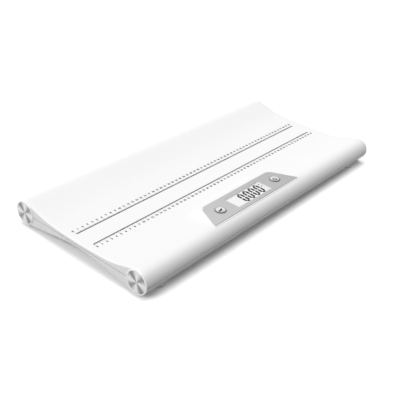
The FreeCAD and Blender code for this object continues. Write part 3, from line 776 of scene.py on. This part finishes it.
def close_seam(obj, reach=0.0):
    """Fills a sheet's open side, which lies in the seam, after moving its rim on by reach."""
    edit(obj, "EDGE", lambda e: len(e.link_faces) == 1)
    if reach:
        bpy.ops.mesh.extrude_region_move(TRANSFORM_OT_translate={"value": (0, 0, reach)})
    bpy.ops.mesh.edge_face_add()
    bpy.ops.mesh.select_all(action="SELECT")
    bpy.ops.mesh.normals_make_consistent(inside=False)
    leave()


print("sheets are ready")

# %% The outside of the tray
foot_gap = 0.8 * mm  # between the soft foot and the console's edge
plate_floor = panel_floor - 2.4 * mm  # the underside of what carries the fascia
skirt_end = console_front + panel_depth + foot_back + 12 * mm  # the console is all before this
foot_blend, inner_blend = 4 * mm, 2 * mm  # of the round where the soft foot leaves the tray
tray_steps, plain_steps = (8, 26, 20, 40), (8, 10, 3, 40)  # in front, with the console, and behind
inner_steps, plain_inner_steps = (6, 16, 8, 24), (6, 8, 3, 24)


def lift(obj, inset, ceiling, blend):
    """Raises the console out of a sheet, up to a ceiling."""
    for vertex in obj.data.vertices:
        x, y, z = vertex.co
        if left_wall < x < right_wall and y < skirt_end:
            walls = min(console_height(x, y, inset), ceiling - seam_z)
            height = soft_max(z - seam_z, walls, blend) if y > console_front - rim else z - seam_z
            vertex.co.z = seam_z + min(height, roll_radius - inset)


upper = sheet("tray_shell", tray_x, whole(top_half, tray_steps, plain_steps))
lift(upper, 0.0, top_z - foot_gap, foot_blend)
close_ends(upper, edge_round)
close_seam(upper)
print("outside of the tray:", triangles(upper), "triangles")


# %% The inside of the tray's wall
past_seam = 2 * mm  # a cutter runs on this far, so that it leaves no skin in the seam
lining_ceiling = plate_floor + 0.2 * mm


def tray_inside(name, depth, ceiling):
    """What lies inside the tray's skin, closed below the seam; the depth is that of its surface."""
    obj = sheet(name, inner_x, whole(top_half, inner_steps, plain_inner_steps, depth))
    lift(obj, depth, ceiling, inner_blend)
    close_ends(obj)
    close_seam(obj, -past_seam)
    return obj


carve(upper, [tray_inside("tray_lining", wall, lining_ceiling)])
print("the tray's wall:", triangles(upper), "triangles")


# %% The crisp top of the console
def console_block(z0, z1, grow):
    """A block with the console's outline, grown by that much all round."""
    points = [(p.x, p.y, z0) for p in console_corners(grow, grow, grow)]
    obj = new_mesh("console_block", points, (), [(0, 1, 2, 3)])
    edit(obj, "FACE")
    bpy.ops.mesh.extrude_region_move(TRANSFORM_OT_translate={"value": (0, 0, z1 - z0)})
    leave()
    middle = console_front + panel_depth / 2
    skew = math.atan(lean)  # of the console's left and right walls
    for back, radius in ((True, panel_corner + grow), (False, front_corner + grow)):
        half_angle = (math.pi / 2 + skew if back else math.pi / 2 - skew) / 2
        edit(obj, "EDGE", lambda e: stands(e) and (e.verts[0].co.y > middle) == back)
        bpy.ops.mesh.bevel(offset=radius / math.tan(half_angle), segments=12 if back else 4)
        leave()
    edit(obj, "FACE")
    bpy.ops.mesh.normals_make_consistent(inside=False)
    leave()
    return obj


top_round = 0.5 * mm
block = console_block(plate_floor, top_z, rim)
edit(block, "EDGE", lambda e: lies_at(e, 2, top_z))
bpy.ops.mesh.bevel(offset=top_round, segments=3)
leave()
carve(upper, [block], "UNION")
print("with the console's top:", triangles(upper), "triangles")

# %% Openings in the upper shell
button_radius = 9.8 * mm
button_hole = 10.15 * mm
window_gap = 0.4 * mm  # between the window and the display's glass, both sides together
cap_bore = 17.75 * mm
button_x = {name: middle_x("button_" + name) for name in ends}
below_plate = panel_floor - 6 * mm


def bore_ends(shell):
    """Opens both rolls at both ends, for the end caps."""
    for end in (-1, 1):
        x0, x1 = sorted((end * (half_length - 2 * wall), end * (half_length + wall)))
        bores = []
        for side in (-1, 1):
            bpy.ops.mesh.primitive_cylinder_add(
                vertices=128,
                radius=cap_bore,
                depth=x1 - x0,
                location=((x0 + x1) / 2, side * roll_y, seam_z),
                rotation=(0, math.pi / 2, 0),
            )
            bpy.ops.object.transform_apply()
            bores.append(bpy.context.object)
        carve(shell, bores)


carve(upper, [console_block(panel_floor, top_z + wall, 0)])
holes = [cylinder(x, display_y, below_plate, top_z, button_hole) for x in button_x.values()]
window = [high - low + window_gap for low, high in zip(glass_low, glass_high)][:2]
holes.append(slab(display_x, display_y, below_plate, top_z, *window))
carve(upper, holes)
bore_ends(upper)
print("with its openings:", triangles(upper), "triangles")

# %% [markdown]
# A moulded shell is stiff because of what its inside carries: ribs across the tray, posts for
# the screws and pads that bear on the feet's plates. They could be modelled one by one, but
# the bare part already has them in their places. All of it that lies inside the new wall is
# kept, with half a millimetre of overlap, and joined on.

# %% What the upper shell carries inside
overlap = 0.5 * mm


def insides(node, volume):
    """The ribs and posts of a bare shell: what lies within the volume."""
    obj = copy_of(node)
    carve(obj, [volume], "INTERSECT")
    return obj


core = tray_inside("core", wall - overlap, plate_floor + overlap)
upper = joined([upper, insides("upper_shell", core)])
settle(upper, "base", "shell_white", shell_white, "upper_shell")
print("upper shell:", triangles(upper), "triangles")

# %% [markdown]
# ## The lower shell
# The underside could be cut from a block, but a second sheet along the lower half of the
# section meets the tray exactly at the seam. A fine groove runs round its upper edge, which
# is what the eye sees as the parting line. The feet, the screws and the battery door lie in
# openings, cut at the places that the bare parts give.

# %% The lower shell's wall
base_steps, inner_base_steps = (14, 12, 40), (10, 8, 24)
base_x = spread((-half_length, 14 * mm), (half_length, 0))
inner_base_x = spread((wall - half_length, 14 * mm), (half_length - wall, 0))


def base_inside(name, depth, reach):
    """What lies inside the underside's skin, closed at reach over the seam."""
    section = whole(belly_half, inner_base_steps, inner_base_steps, depth)
    obj = sheet(name, inner_base_x, section)
    close_ends(obj)
    close_seam(obj, reach)
    return obj


lower = sheet("base_shell", base_x, whole(belly_half, base_steps, base_steps))
close_ends(lower, edge_round)
close_seam(lower)
carve(lower, [base_inside("base_lining", wall, past_seam)])
print("underside:", triangles(lower), "triangles")

# %% Groove and bores
seam_depth = 1.0 * mm
ring = slab(0, 0, seam_z - seam_height, seam_z + wall, 3 * half_length, 4 * roll_y)
kept_length = 2 * (half_length - seam_depth)
kept_width = 2 * (roll_y + roll_radius - seam_depth)
carve(ring, [slab(0, 0, seam_z - wall, seam_z + 2 * wall, kept_length, kept_width)])
carve(lower, [ring])

foot_x = middle_x("foot_cup_front_right")
foot_bore = 12.3 * mm
screw_bore = 3.5 * mm
screw_row = roll_y - 31 * mm
screw_far = foot_x - 40 * mm
screw_near = 80 * mm
screw_beside = front_half + 24 * mm
screws = [(x, screw_row) for x in (-screw_far, -screw_near, screw_near, screw_far)]
screws += [(-screw_far, -screw_row), (screw_far, -screw_row)]
screws += [(console_x - screw_beside, -screw_row), (console_x + screw_beside, -screw_row)]
feet = [(end * foot_x, side * roll_y) for end in (-1, 1) for side in (-1, 1)]
inside_base = seam_z - 2 * wall
carve(lower, [cylinder(x, y, 0, inside_base, screw_bore, 48) for x, y in screws])
carve(lower, [cylinder(x, y, 0, inside_base, foot_bore, 96) for x, y in feet])
print("bores for screws:", len(screws), "and for feet:", len(feet))

# %% The battery bay's mouth
bay_y = -(roll_y - 29 * mm)
mouth_length, mouth_width, mouth_corner = 56 * mm, 38.8 * mm, 2 * mm
finger_radius, finger_depth = 7 * mm, 1.3 * mm  # of the notch that a fingertip opens the door by
slope = belly_slope()
touch_y, touch_drop = roll_y - roll_radius * math.sin(slope), roll_radius * math.cos(slope)
bay_z = seam_z - touch_drop + (touch_y + bay_y) * math.tan(slope)
bay = Matrix.Translation((console_x, bay_y, bay_z)) @ Matrix.Rotation(slope, 4, "X")
mouth = slab(0, 0, -wall, wall + 0.2 * mm, mouth_length, mouth_width, mouth_corner)
notch = cylinder(0, -mouth_width / 2, -wall, finger_depth, finger_radius)
for cutter in (mouth, notch):
    cutter.data.transform(bay)
    carve(lower, [cutter])
bore_ends(lower)
print("with its openings:", triangles(lower), "triangles")

# %% What the lower shell carries inside
post_reach = 3 * mm  # the posts and ribs stand up past the seam by less than this
core = base_inside("base_core", wall - overlap, post_reach)
lower = joined([lower, insides("lower_shell", core)])
settle(lower, "base", "shell_white", base_white, "lower_shell")
apply(lower, "WEIGHTED_NORMAL", keep_sharp=True)
print("lower shell:", triangles(lower), "triangles")

# %% [markdown]
# ## Spun metal
# A disc that is turned on a lathe keeps very fine rings, and rings mirror a lamp as light and
# dark fans that run out from the middle. A gloss with a direction would show them too, but it
# is lost when the finish is baked into a picture. So the rings are a bump that follows the
# distance from the disc's own middle, and the fans are painted by the angle round it. All
# discs share one material: the two rolls' axes are folded onto one.


# %% Metal discs
def folded(across, distance):
    """Folds two middles, which lie that far to both sides of 0, onto one."""
    return across - across.sign() * distance


def turned_rings(paint, radius, tightness):
    """The gloss and the relief of fine rings; the tightness is in turns of a sine."""
    rings = (radius * tightness).sine() * 0.5 + 0.5
    fine = paint.noise(3000)
    return {"Roughness": fine * 0.12 + 0.34, "Normal": paint.bump(rings, 0.012 * mm)}


def spun_metal(name, fans, light, dark):
    """Metal turned about the rolls' axes; a fan is its angle in degrees, strength and sharpness."""
    paint = Paint(name, Metallic=0.35)
    across = folded(paint.along("Y"), roll_y)
    rise = paint.along("Z") - seam_z
    angle = rise.maths("ARCTAN2", rise, across)
    radius = (across * across + rise * rise).power(0.5)
    shade = 0.0
    for turn, strength, sharpness in fans:
        nearness = (angle - math.radians(turn)).cosine().power(2)
        shade = nearness.power(sharpness) * strength + shade
    colour = paint.mix(shade.at_most(1.0), light, dark)
    return paint.set(Base_Color=colour, **turned_rings(paint, radius, 14000))


disc_fans = ((49, 0.95, 5), (-42, 0.85, 5))
disc_metal = spun_metal("disc_metal", disc_fans, (0.78, 0.78, 0.79), (0.16, 0.16, 0.165))
print("fans on a disc:", len(disc_fans))


# %% Metal buttons
def turned_button(name):
    """A turned cap with painted shade: light at its back, dark at its front, and a darker edge."""
    light, middling, dark = (0.72, 0.72, 0.73), (0.2, 0.2, 0.205), (0.03, 0.03, 0.03)
    towards_front = (-0.5, -0.87)
    edge_from = 0.86  # of the radius
    paint = Paint(name, Metallic=0.3)
    across = folded(paint.along("X") - display_x, (button_x["right"] - button_x["left"]) / 2)
    rise = paint.along("Y") - display_y
    radius = (across * across + rise * rise).power(0.5) / button_radius
    front = (across * towards_front[0] + rise * towards_front[1]) / button_radius
    # painted shade: the cap darkens towards its front, and its edge darker still
    shade = (front * 0.75 + 0.1).at_least(0.0)
    inside = paint.mix(shade, light, middling)
    edge = paint.mix(shade * 1.6, middling, dark)
    colour = paint.mix(radius.below(edge_from), edge, inside)
    return paint.set(Base_Color=colour, **turned_rings(paint, radius, 140))


button_metal = turned_button("button_metal")
print("button metal is ready")

# %% [markdown]
# ## The ends of the rolls
# A white plug closes each end of a roll and holds both shells together, and a thin dished
# disc of metal lies in its face. A cylinder would need its steps inset and extruded one by
# one. Both pieces are round, so one outline of each, spun about the roll's axis, gives the
# whole piece. A small bevel on the sharp edges catches the light.

# %% Caps and discs at the ends of the rolls
cap_flange = 1.2 * mm
cap_radius = 20.6 * mm
disc_radius = 18.2 * mm
disc_recess = 18.35 * mm
disc_thickness = 0.8 * mm
disc_dish = 0.3 * mm
dish_steps = 8
cap_round, disc_round = 0.35 * mm, 0.12 * mm
sharp = 50  # in degrees; edges that turn by more are rounded
spigot_radius = 17.6 * mm
spigot_wall = 1.6 * mm
spigot_length = 8.0 * mm
recess_floor = cap_flange - disc_thickness
cap_outline = [
    (0, recess_floor - spigot_wall),
    (spigot_radius - spigot_wall, recess_floor - spigot_wall),
    (spigot_radius - spigot_wall, -spigot_length),
    (spigot_radius, -spigot_length),
    (spigot_radius, 0),
    (cap_radius, 0),
    (cap_radius, cap_flange),
    (disc_recess, cap_flange),
    (disc_recess, recess_floor),
    (0, recess_floor),
]
disc_outline = [(0, recess_floor), (disc_radius, recess_floor)]
for part in (i / dish_steps for i in range(dish_steps, -1, -1)):
    disc_outline.append((disc_radius * part, cap_flange - disc_dish * (1 - part**2)))
for name, end, side in corners:
    place = Vector((end * half_length, side * roll_y, seam_z))
    cap = lathe("cap_" + name, cap_outline, place, end * math.pi / 2)
    round_edges(cap, cap_round, 3, sharp)
    settle(cap, "base", "cap_white", cap_white, "end_cap_" + name)
    disc = lathe("disc_" + name, disc_outline, place, end * math.pi / 2)
    round_edges(disc, disc_round, 2, sharp)
    settle(disc, "base", "spun_metal", disc_metal, "end_disc_" + name)
print("one cap has", triangles(cap), "triangles")

# %% [markdown]
# ## The fascia
# The fascia is a satin grey sheet let into the console's top. A lamp at one end leaves the
# other end of such a sheet darker, and its front edge lies in shade. One flat grey would look
# pasted on, so the grey drifts along the sheet and is dark along its front edge.

# %% Fascia
fascia = Paint("fascia_grey")
light_end, dark_end, edge_grey = (0.54, 0.54, 0.54), (0.42, 0.42, 0.42), (0.1, 0.1, 0.1)
edge_width, edge_share = 1.2 * mm, 0.8
speck = fascia.noise(1800)
drift = (fascia.along("X") - panel_low.x) / (panel_high.x - panel_low.x)
edge = fascia.along("Y").below(panel_low.y + edge_width)
fascia_grey = fascia.set(
    Base_Color=fascia.mix(edge * edge_share, fascia.mix(drift, light_end, dark_end), edge_grey),
    Roughness=speck * 0.1 + 0.42,
    Normal=fascia.bump(speck, 0.01 * mm),
)
fascia_piece = dress("console_panel", 0.2 * mm, fascia_grey)
print("fascia:", triangles(fascia_piece), "triangles")

# %% [markdown]
# ## The buttons
# A button is a turned metal cap: a light ring round a shallow dish, a flange that keeps it
# under the shell, and a stem that presses a silicone dome. A bevelled cylinder gives no such
# rim, so the cap is a spun outline, as the end caps are. A printed mark is thinner than a
# hair. A texture would need an image, so each mark is a flat shape just over the dish.


# %% Printed shapes
def ink(name, colour):
    """Matt print that is slightly uneven."""
    paint = Paint(name, Specular_IOR_Level=0.15)
    cloud = paint.noise(700)
    lighter = tuple(c * 1.25 + 0.004 for c in colour)
    return paint.set(Base_Color=paint.mix(cloud, colour, lighter), Roughness=cloud * 0.1 + 0.5)


def flat_shape(name, outline, z):
    """A flat printed shape with this outline of (x, y) points."""
    obj = new_mesh(name, [(x, y, z) for x, y in outline], (), [tuple(range(len(outline)))])
    if obj.data.polygons[0].normal.z < 0:
        obj.data.flip_normals()
    return obj


def flat_arc(name, x, y, z, radii, turns):
    """A flat printed arc between two radii, with points at these turns."""
    rows = [[(x + r * math.cos(a), y + r * math.sin(a), z) for a in turns] for r in radii]
    count = len(turns)
    faces = [(i, i + count, i + count + 1, i + 1) for i in range(count - 1)]
    return new_mesh(name, rows[0] + rows[1], (), faces)


ink_black = ink("ink_black", (0.003, 0.003, 0.003))
ink_grey = ink("ink_grey", (0.05, 0.05, 0.052))
print("inks: black and grey")

# %% Button caps
stem_low, button_high = (corner[2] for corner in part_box("button_left"))
stem_radius = 3.0 * mm
crown_low = button_high - 1.8 * mm
hollow_radius = button_radius - 1.2 * mm
flange_high = plate_floor - 0.3 * mm
flange_low = flange_high - 1.5 * mm
flange_radius = button_radius + 1.8 * mm
dish = button_high - 0.35 * mm
rim_line = ((0, 0.5), (0.25, 0.12), (0.7, 0), (1.5, 0), (1.9, 0.22), (2.6, 0.2))  # mm in and down
button_outline = [
    (0, stem_low),
    (stem_radius, stem_low),
    (stem_radius, crown_low),
    (hollow_radius, crown_low),
    (hollow_radius, flange_low),
    (flange_radius, flange_low),
    (flange_radius, flange_high),
    (button_radius, flange_high),
]
button_outline += [(button_radius - a * mm, button_high - b * mm) for a, b in rim_line]
button_outline += [(button_radius * 0.4, dish + 0.04 * mm), (0, dish)]
for name, x in button_x.items():
    body = "button_" + name
    cap = lathe("cap_" + body, button_outline, Vector((x, display_y, 0)))
    settle(cap, body, "spun_metal", button_metal, body)
print("button stands", round((button_high - panel_high.z) * 1000, 2), "mm above the fascia")

# %% Marks on the buttons
mark_z = dish + 0.12 * mm
left_mark = ((-6.2, -2.3), (1.5, -1.9), (5.6, 1.2), (4.8, 2.6), (-0.5, 1.2), (-6.0, -0.6))  # in mm
points = [(button_x["left"] + a * mm, display_y + b * mm) for a, b in left_mark]
settle(flat_shape("mark_left", points, mark_z), "button_left", "frame_black", ink_black)

arc_radii = (2.5 * mm, 4.1 * mm)
arc_gap = math.radians(36)  # to each side of the bar
arc_steps = 40
bar_length, bar_width, bar_rise = 3.6 * mm, 1.4 * mm, 3.0 * mm
start, end = math.pi / 2 + arc_gap, 2.5 * math.pi - arc_gap
turns = [start + (end - start) * i / arc_steps for i in range(arc_steps + 1)]
arc_mark = flat_arc("mark_arc", button_x["right"], display_y, mark_z, arc_radii, turns)
bar_y = display_y + bar_rise
bar = slab(button_x["right"], bar_y, mark_z - 0.01 * mm, mark_z, bar_width, bar_length)
settle(joined([arc_mark, bar]), "button_right", "frame_black", ink_black)
print("the left mark has", len(left_mark), "points, the right one an arc of", arc_steps, "steps")

# %% [markdown]
# ## The display
# A liquid crystal display is two panes of glass over a pale mirror, and its dark segments lie
# between the panes. Seen from above they look printed, so they are drawn as flat shapes just
# over the glass. The digit shown is 0, which lights six of the seven strokes. Strokes are
# pointed at a digit's corners and slanted at its waist, with a hair's breadth of pale gap
# between them.


# %% Segments
def stroke_outline(start, end, half):
    """A stroke with pointed ends between two points; half is half its width."""
    along = (end - start).normalized()
    side = Vector((-along.y, along.x)) * half
    tip = along * half
    return [start, start + tip + side, end - tip + side, end, end - tip - side, start + tip - side]


waist_slant = 0.4


def upright_outline(waist, corner, half):
    """A stroke at a digit's side: slanted at the digit's waist, pointed at its corner."""
    along = (corner - waist).normalized()
    side = Vector((-along.y, along.x)) * half
    outward = side if side.dot(waist) > 0 else -side
    tip = along * half
    points = [waist + outward, corner - tip + outward, corner, corner - tip - outward]
    return points + [waist + tip * waist_slant - outward]


digit_height = 27.2 * mm
digit_width = 11.9 * mm
digit_pitch = 14.9 * mm
digit_lean = 0.045
digit_count = 4
stroke_half = 2.15 * mm
stroke_gap = 0.3 * mm
first_digit = Vector((display_x - 14.45 * mm, display_y + 0.2 * mm))
digit_z = glass_high.z + 0.04 * mm
w, h = digit_width / 2 - stroke_half, digit_height / 2 - stroke_half
knots = [Vector(k) for k in ((-w, -h), (w, -h), (w, 0), (w, h), (-w, h), (-w, 0))]
zero = [(0, 1), (2, 1), (2, 3), (3, 4), (5, 4), (5, 0)]  # pairs of knots; 2 and 5 are the waist
segments = []
for place in range(digit_count):
    for a, b in zero:
        start, end = knots[a], knots[b]
        cut = (end - start).normalized() * stroke_gap
        draw = stroke_outline if start.y else upright_outline
        leaned = []
        for p in draw(start + cut, end - cut, stroke_half):
            leaned.append(first_digit + Vector((p.x + p.y * digit_lean + place * digit_pitch, p.y)))
        segments.append(flat_shape("segment", leaned, digit_z))
digits = joined(segments)
digits.name = "digits"
settle(digits, "base", "frame_black", ink_black)
print("segments lit:", len(segments))

# %% Unit marks
unit_x = display_x + 41.4 * mm
unit_rises = (9.4 * mm, 2.4 * mm)
unit_reach = Vector((2.1, 0.9)) * mm
unit_half = 1.1 * mm
unit_marks = []
for rise in unit_rises:
    centre = Vector((unit_x, display_y + rise))
    dash = stroke_outline(centre - unit_reach, centre + unit_reach, unit_half)
    unit_marks.append(flat_shape("unit_mark", dash, digit_z))
settle(joined(unit_marks), "base", "frame_black", ink_grey)
print("unit marks:", len(unit_marks))

# %% [markdown]
# A real display's mirror and its backlight keep the pale ground bright even in shade. Glass
# panes over a mirror would need many light paths for that, so the glass is painted pale and
# glows faintly. The window over it is clear, with a white border printed on its underside
# and up its edge. The border is a thin dish cut out of a block, and lies inside the window.

# %% Display glass
pane = Paint("lcd_pale", IOR=1.5, Emission_Color=(1, 1, 1), Emission_Strength=0.07)
milk = pane.noise(300)
lcd_pale = pane.set(
    Base_Color=pane.mix(milk, (0.93, 0.935, 0.93), (0.96, 0.965, 0.96)),
    Roughness=milk * 0.05 + 0.15,
)
dress("lcd_glass", 0.15 * mm, lcd_pale)
print("pane is", round((glass_high.x - glass_low.x) * 1000, 1), "mm long")

# %% Window
skin = 0.1 * mm
border_corner, well_corner, view_corner = 1.4 * mm, 1.2 * mm, 0.6 * mm
view_edge = 0.6 * mm  # of the glass under the border, both sides together
lens_size = lens_high - lens_low
border_low, border_high = lens_low.z + skin, lens_high.z - 2 * skin
outer = (lens_size.x - 2 * skin, lens_size.y - 2 * skin)
well = [size - 4 * skin for size in outer]
view = [size - view_edge for size in (glass_high - glass_low)[:2]]
border = slab(display_x, display_y, border_low, border_high, *outer, border_corner)
carve(border, [slab(display_x, display_y, border_low + skin, top_z, *well, well_corner)])
carve(border, [slab(display_x, display_y, 0, top_z, *view, view_corner)])
settle(border, "base", "shell_white", ink("border_white", (0.76, 0.76, 0.76)))
clear = Paint("lens_clear", IOR=1.49, Specular_IOR_Level=0.15)
haze = clear.noise(500)
lens_clear = clear.set(
    Base_Color=clear.mix(haze, (0.03, 0.03, 0.03), (0.05, 0.05, 0.05)),
    Roughness=haze * 0.03 + 0.05,
    Alpha=0.04,
)
dress("display_lens", 0.15 * mm, lens_clear)
print("display is", round((lens_high.x - lens_low.x) * 1000, 1), "mm long")

# %% [markdown]
# ## The ruler
# Two scales of 60 centimetres are printed on the tray, back to back. Each has a line, a short
# stroke for each millimetre, longer ones for each half and whole centimetre, and a number. A
# print is thinner than a hair. It could be a picture laid on the tray, which blurs when the
# camera is near, so each stroke is a flat face that follows the tray a twentieth of a
# millimetre above it. One stroke is drawn and an array repeats it. The numbers are text that
# is turned into faces.

# %% Strokes of the ruler
ruler_start = -304.6 * mm
ruler_length = 600  # in mm, as the steps below are
ruler_y = 18.2 * mm
print_lift = 0.05 * mm
stroke_rows = {
    # name: step, width and length, in mm
    "millimetres": (1, 0.5, 3.0),
    "fives": (5, 0.5, 4.0),
    "centimetres": (10, 0.6, 5.6),
}
line_width = 1.6 * mm
tray_line = whole(top_half, tray_steps, tray_steps)


def tray_height(y):
    """Height of the tray's surface at a distance from its middle."""
    for (y0, z0), (y1, z1) in zip(tray_line, tray_line[1:]):
        if y0 <= y <= y1:
            return seam_z + z0 + (z1 - z0) * (y - y0) / (y1 - y0)
    return top_z


def lay_on_tray(obj, x=0.0, y=0.0):
    """Moves a flat print by x and y, and lays it on the tray."""
    for vertex in obj.data.vertices:
        vertex.co.x += x
        vertex.co.y += y
        vertex.co.z = tray_height(vertex.co.y) + print_lift


def strokes(name, step, count, width, length, side):
    """A row of strokes that run outwards from a scale's line."""
    y0, y1 = side * ruler_y, side * (ruler_y + length)
    half = width / 2
    points = [(ruler_start + dx, y) for dx, y in ((-half, y0), (half, y0), (half, y1), (-half, y1))]
    obj = flat_shape(name, points, 0)
    lay_on_tray(obj)
    offset = {"use_relative_offset": False, "use_constant_offset": True}
    apply(obj, "ARRAY", count=count, constant_offset_displace=(step, 0, 0), **offset)
    return obj


print("ruler starts", round((ruler_start + half_length) * 1000, 1), "mm from the left end")

# %% Numbers of the ruler
number_y = ruler_y + 9.9 * mm
number_size = 5.6 * mm
number_weight = 0.32 * mm
number_count = 61


def number(value, side):
    """A number of the ruler, laid on the tray."""
    bpy.ops.object.text_add()
    obj = bpy.context.object
    obj.data.body = str(value)
    obj.data.size = number_size
    obj.data.offset = number_weight
    obj.data.align_x = "CENTER"
    obj.data.align_y = "CENTER"
    obj.data.resolution_u = 2
    bpy.ops.object.convert(target="MESH")
    obj = bpy.context.object
    lay_on_tray(obj, ruler_start + value * 10 * mm, side * number_y)
    return obj


for name, side in sides.items():
    rows = []
    for row, (step, width, length) in stroke_rows.items():
        count = ruler_length // step + 1
        rows.append(strokes(row, step * mm, count, width * mm, length * mm, side))
    half_line = ruler_length / 2 * mm
    rows.append(strokes("line", half_line, 2, half_line, line_width, side))
    for vertex in rows[-1].data.vertices:
        vertex.co.x += half_line / 2
    scale = joined(rows)
    scale.name = "ruler_" + name
    settle(scale, "base", "frame_black", ink_grey)
    numbers = joined([number(value, side) for value in range(number_count)])
    numbers.name = "numbers_" + name
    settle(numbers, "base", "frame_black", ink_grey)
print("numbers on a scale:", number_count)

# %% [markdown]
# ## Feet, battery door and what lies inside
# These pieces keep the bare parts' shape. Each gets a merged copy with a small round on its
# sharp edges and a finish of its own. A finish could be one plain colour, but rubber, rolled
# steel and a printed sleeve each vary in their own way, so each kind has a short recipe.


# %% Finishes of the smaller pieces
def plastic(name, colour, gloss, grain=1500, depth=0.01):
    """Coloured plastic or rubber with a fine grain; the depth is in millimetres."""
    paint = Paint(name)
    cloud = paint.noise(grain / 20)
    skin = paint.noise(grain)
    darker = tuple(c * 0.9 for c in colour)
    return paint.set(
        Base_Color=paint.mix(cloud, darker, colour),
        Roughness=skin * 0.12 + gloss,
        Normal=paint.bump(skin, depth * mm),
    )


def metal(name, colour, gloss, stretch=(1, 1, 1)):
    """Plain metal with faint streaks."""
    paint = Paint(name, Metallic=1.0)
    streak = paint.noise(900, 2, stretch)
    darker = tuple(c * 0.86 for c in colour)
    return paint.set(
        Base_Color=paint.mix(streak, darker, colour),
        Roughness=streak * 0.15 + gloss,
    )


def striped(name, axis, pitch, first, second, gloss):
    """Stripes across an axis, one pitch from one to the next."""
    paint = Paint(name)
    wave = (paint.along(axis) * (2 * math.pi / pitch)).sine() * 0.5 + 0.5
    return paint.set(Base_Color=paint.mix(wave, first, second), Roughness=wave * 0.1 + gloss)


def solder_mask(name):
    """A green board with a faint web of tracks."""
    paint = Paint(name)
    tracks = (paint.along("X") * 1800).sine() * (paint.along("Y") * 1400).sine()
    cloud = paint.noise(120, 3)
    shade = paint.mix(tracks * 0.3 + cloud * 0.5, (0.02, 0.16, 0.07), (0.05, 0.3, 0.14))
    return paint.set(Base_Color=shade, Roughness=cloud * 0.2 + 0.3)


def cell_sleeve(name):
    """A printed sleeve with bare metal ends, along X."""
    sleeve_half = 19.5 * mm
    paint = Paint(name)
    sleeve = (paint.along("X") - console_x).size().below(sleeve_half)
    worn = paint.noise(200, 3)
    shade = paint.mix(sleeve, (0.72, 0.7, 0.66), (0.06, 0.2, 0.22))
    return paint.set(Base_Color=shade, Roughness=worn * 0.12 + 0.25, Metallic=1 - sleeve * 0.9)


recipes = {
    # slot: the round on its edges in mm, the finish and what the finish is given
    "frame_black": (0.15, plastic, (0.03, 0.03, 0.03), 0.5),
    "backlight_white": (0.1, plastic, (0.85, 0.88, 0.9), 0.2),
    "zebra_rubber": (0.1, striped, "X", 0.6 * mm, (0.02, 0.02, 0.02), (0.5, 0.4, 0.4), 0.6),
    "board_green": (0.0, solder_mask),
    "chip_black": (0.15, plastic, (0.02, 0.02, 0.02), 0.35),
    "socket_white": (0.15, plastic, (0.75, 0.72, 0.66), 0.4),
    "screw_steel": (0.12, metal, (0.6, 0.6, 0.6), 0.25),
    "clamp_white": (0.15, plastic, (0.72, 0.72, 0.7), 0.4),
    "cell_steel": (0.1, metal, (0.6, 0.61, 0.62), 0.3, (0.05, 1, 1)),
    "lead_grey": (0.0, plastic, (0.1, 0.1, 0.105), 0.45),
    "lead_red": (0.0, plastic, (0.4, 0.02, 0.015), 0.4),
    "pad_rubber": (0.2, plastic, (0.4, 0.4, 0.4), 0.7, 2500, 0.03),
    "dome_silicone": (0.1, plastic, (0.6, 0.6, 0.57), 0.45),
    "pill_carbon": (0.08, plastic, (0.015, 0.015, 0.015), 0.8),
    "battery_skin": (0.25, cell_sleeve),
    "contact_nickel": (0.0, metal, (0.68, 0.66, 0.6), 0.2),
}
finishes = {"shell_white": (0.2, shell_white), "cap_white": (0.2, cap_white)}
for slot, (width, finish, *given) in recipes.items():
    finishes[slot] = (width, finish(slot, *given))
print("finishes:", len(finishes))

# %% Dressing the bare parts
done = {"upper_shell", "lower_shell", "console_panel", "lcd_glass", "display_lens"}
done |= {"button_left", "button_right"}
done |= {start + name for start in ("end_cap_", "end_disc_") for name, _, _ in corners}
dressed = {}
for node in sorted(set(body_of) - done):
    width, material = finishes[slot_of[node]]
    dressed[node] = dress(node, width * mm, material)
print("pieces dressed from bare parts:", len(dressed))

# %% [markdown]
# A silicone dome folds under its button, and a load cell's tongue bends over its foot. Both
# could be bent by an armature, but they hardly show. Here each only gets a mesh of its own.

# %% Pieces that give way
for side in button_x:
    node = "key_dome_" + side
    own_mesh(dressed[node])
for corner, _, _ in corners:
    node = "load_cell_" + corner
    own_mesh(dressed[node])
print("domes and load cells that give way:", len(button_x) + len(corners))

# %% How far the dressed scale's box lies from the frame's
lo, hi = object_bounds()
apart = [abs(a - b) for p, q in zip(frame_box, (lo, hi)) for a, b in zip(p, q)]
print("largest difference:", max(apart))
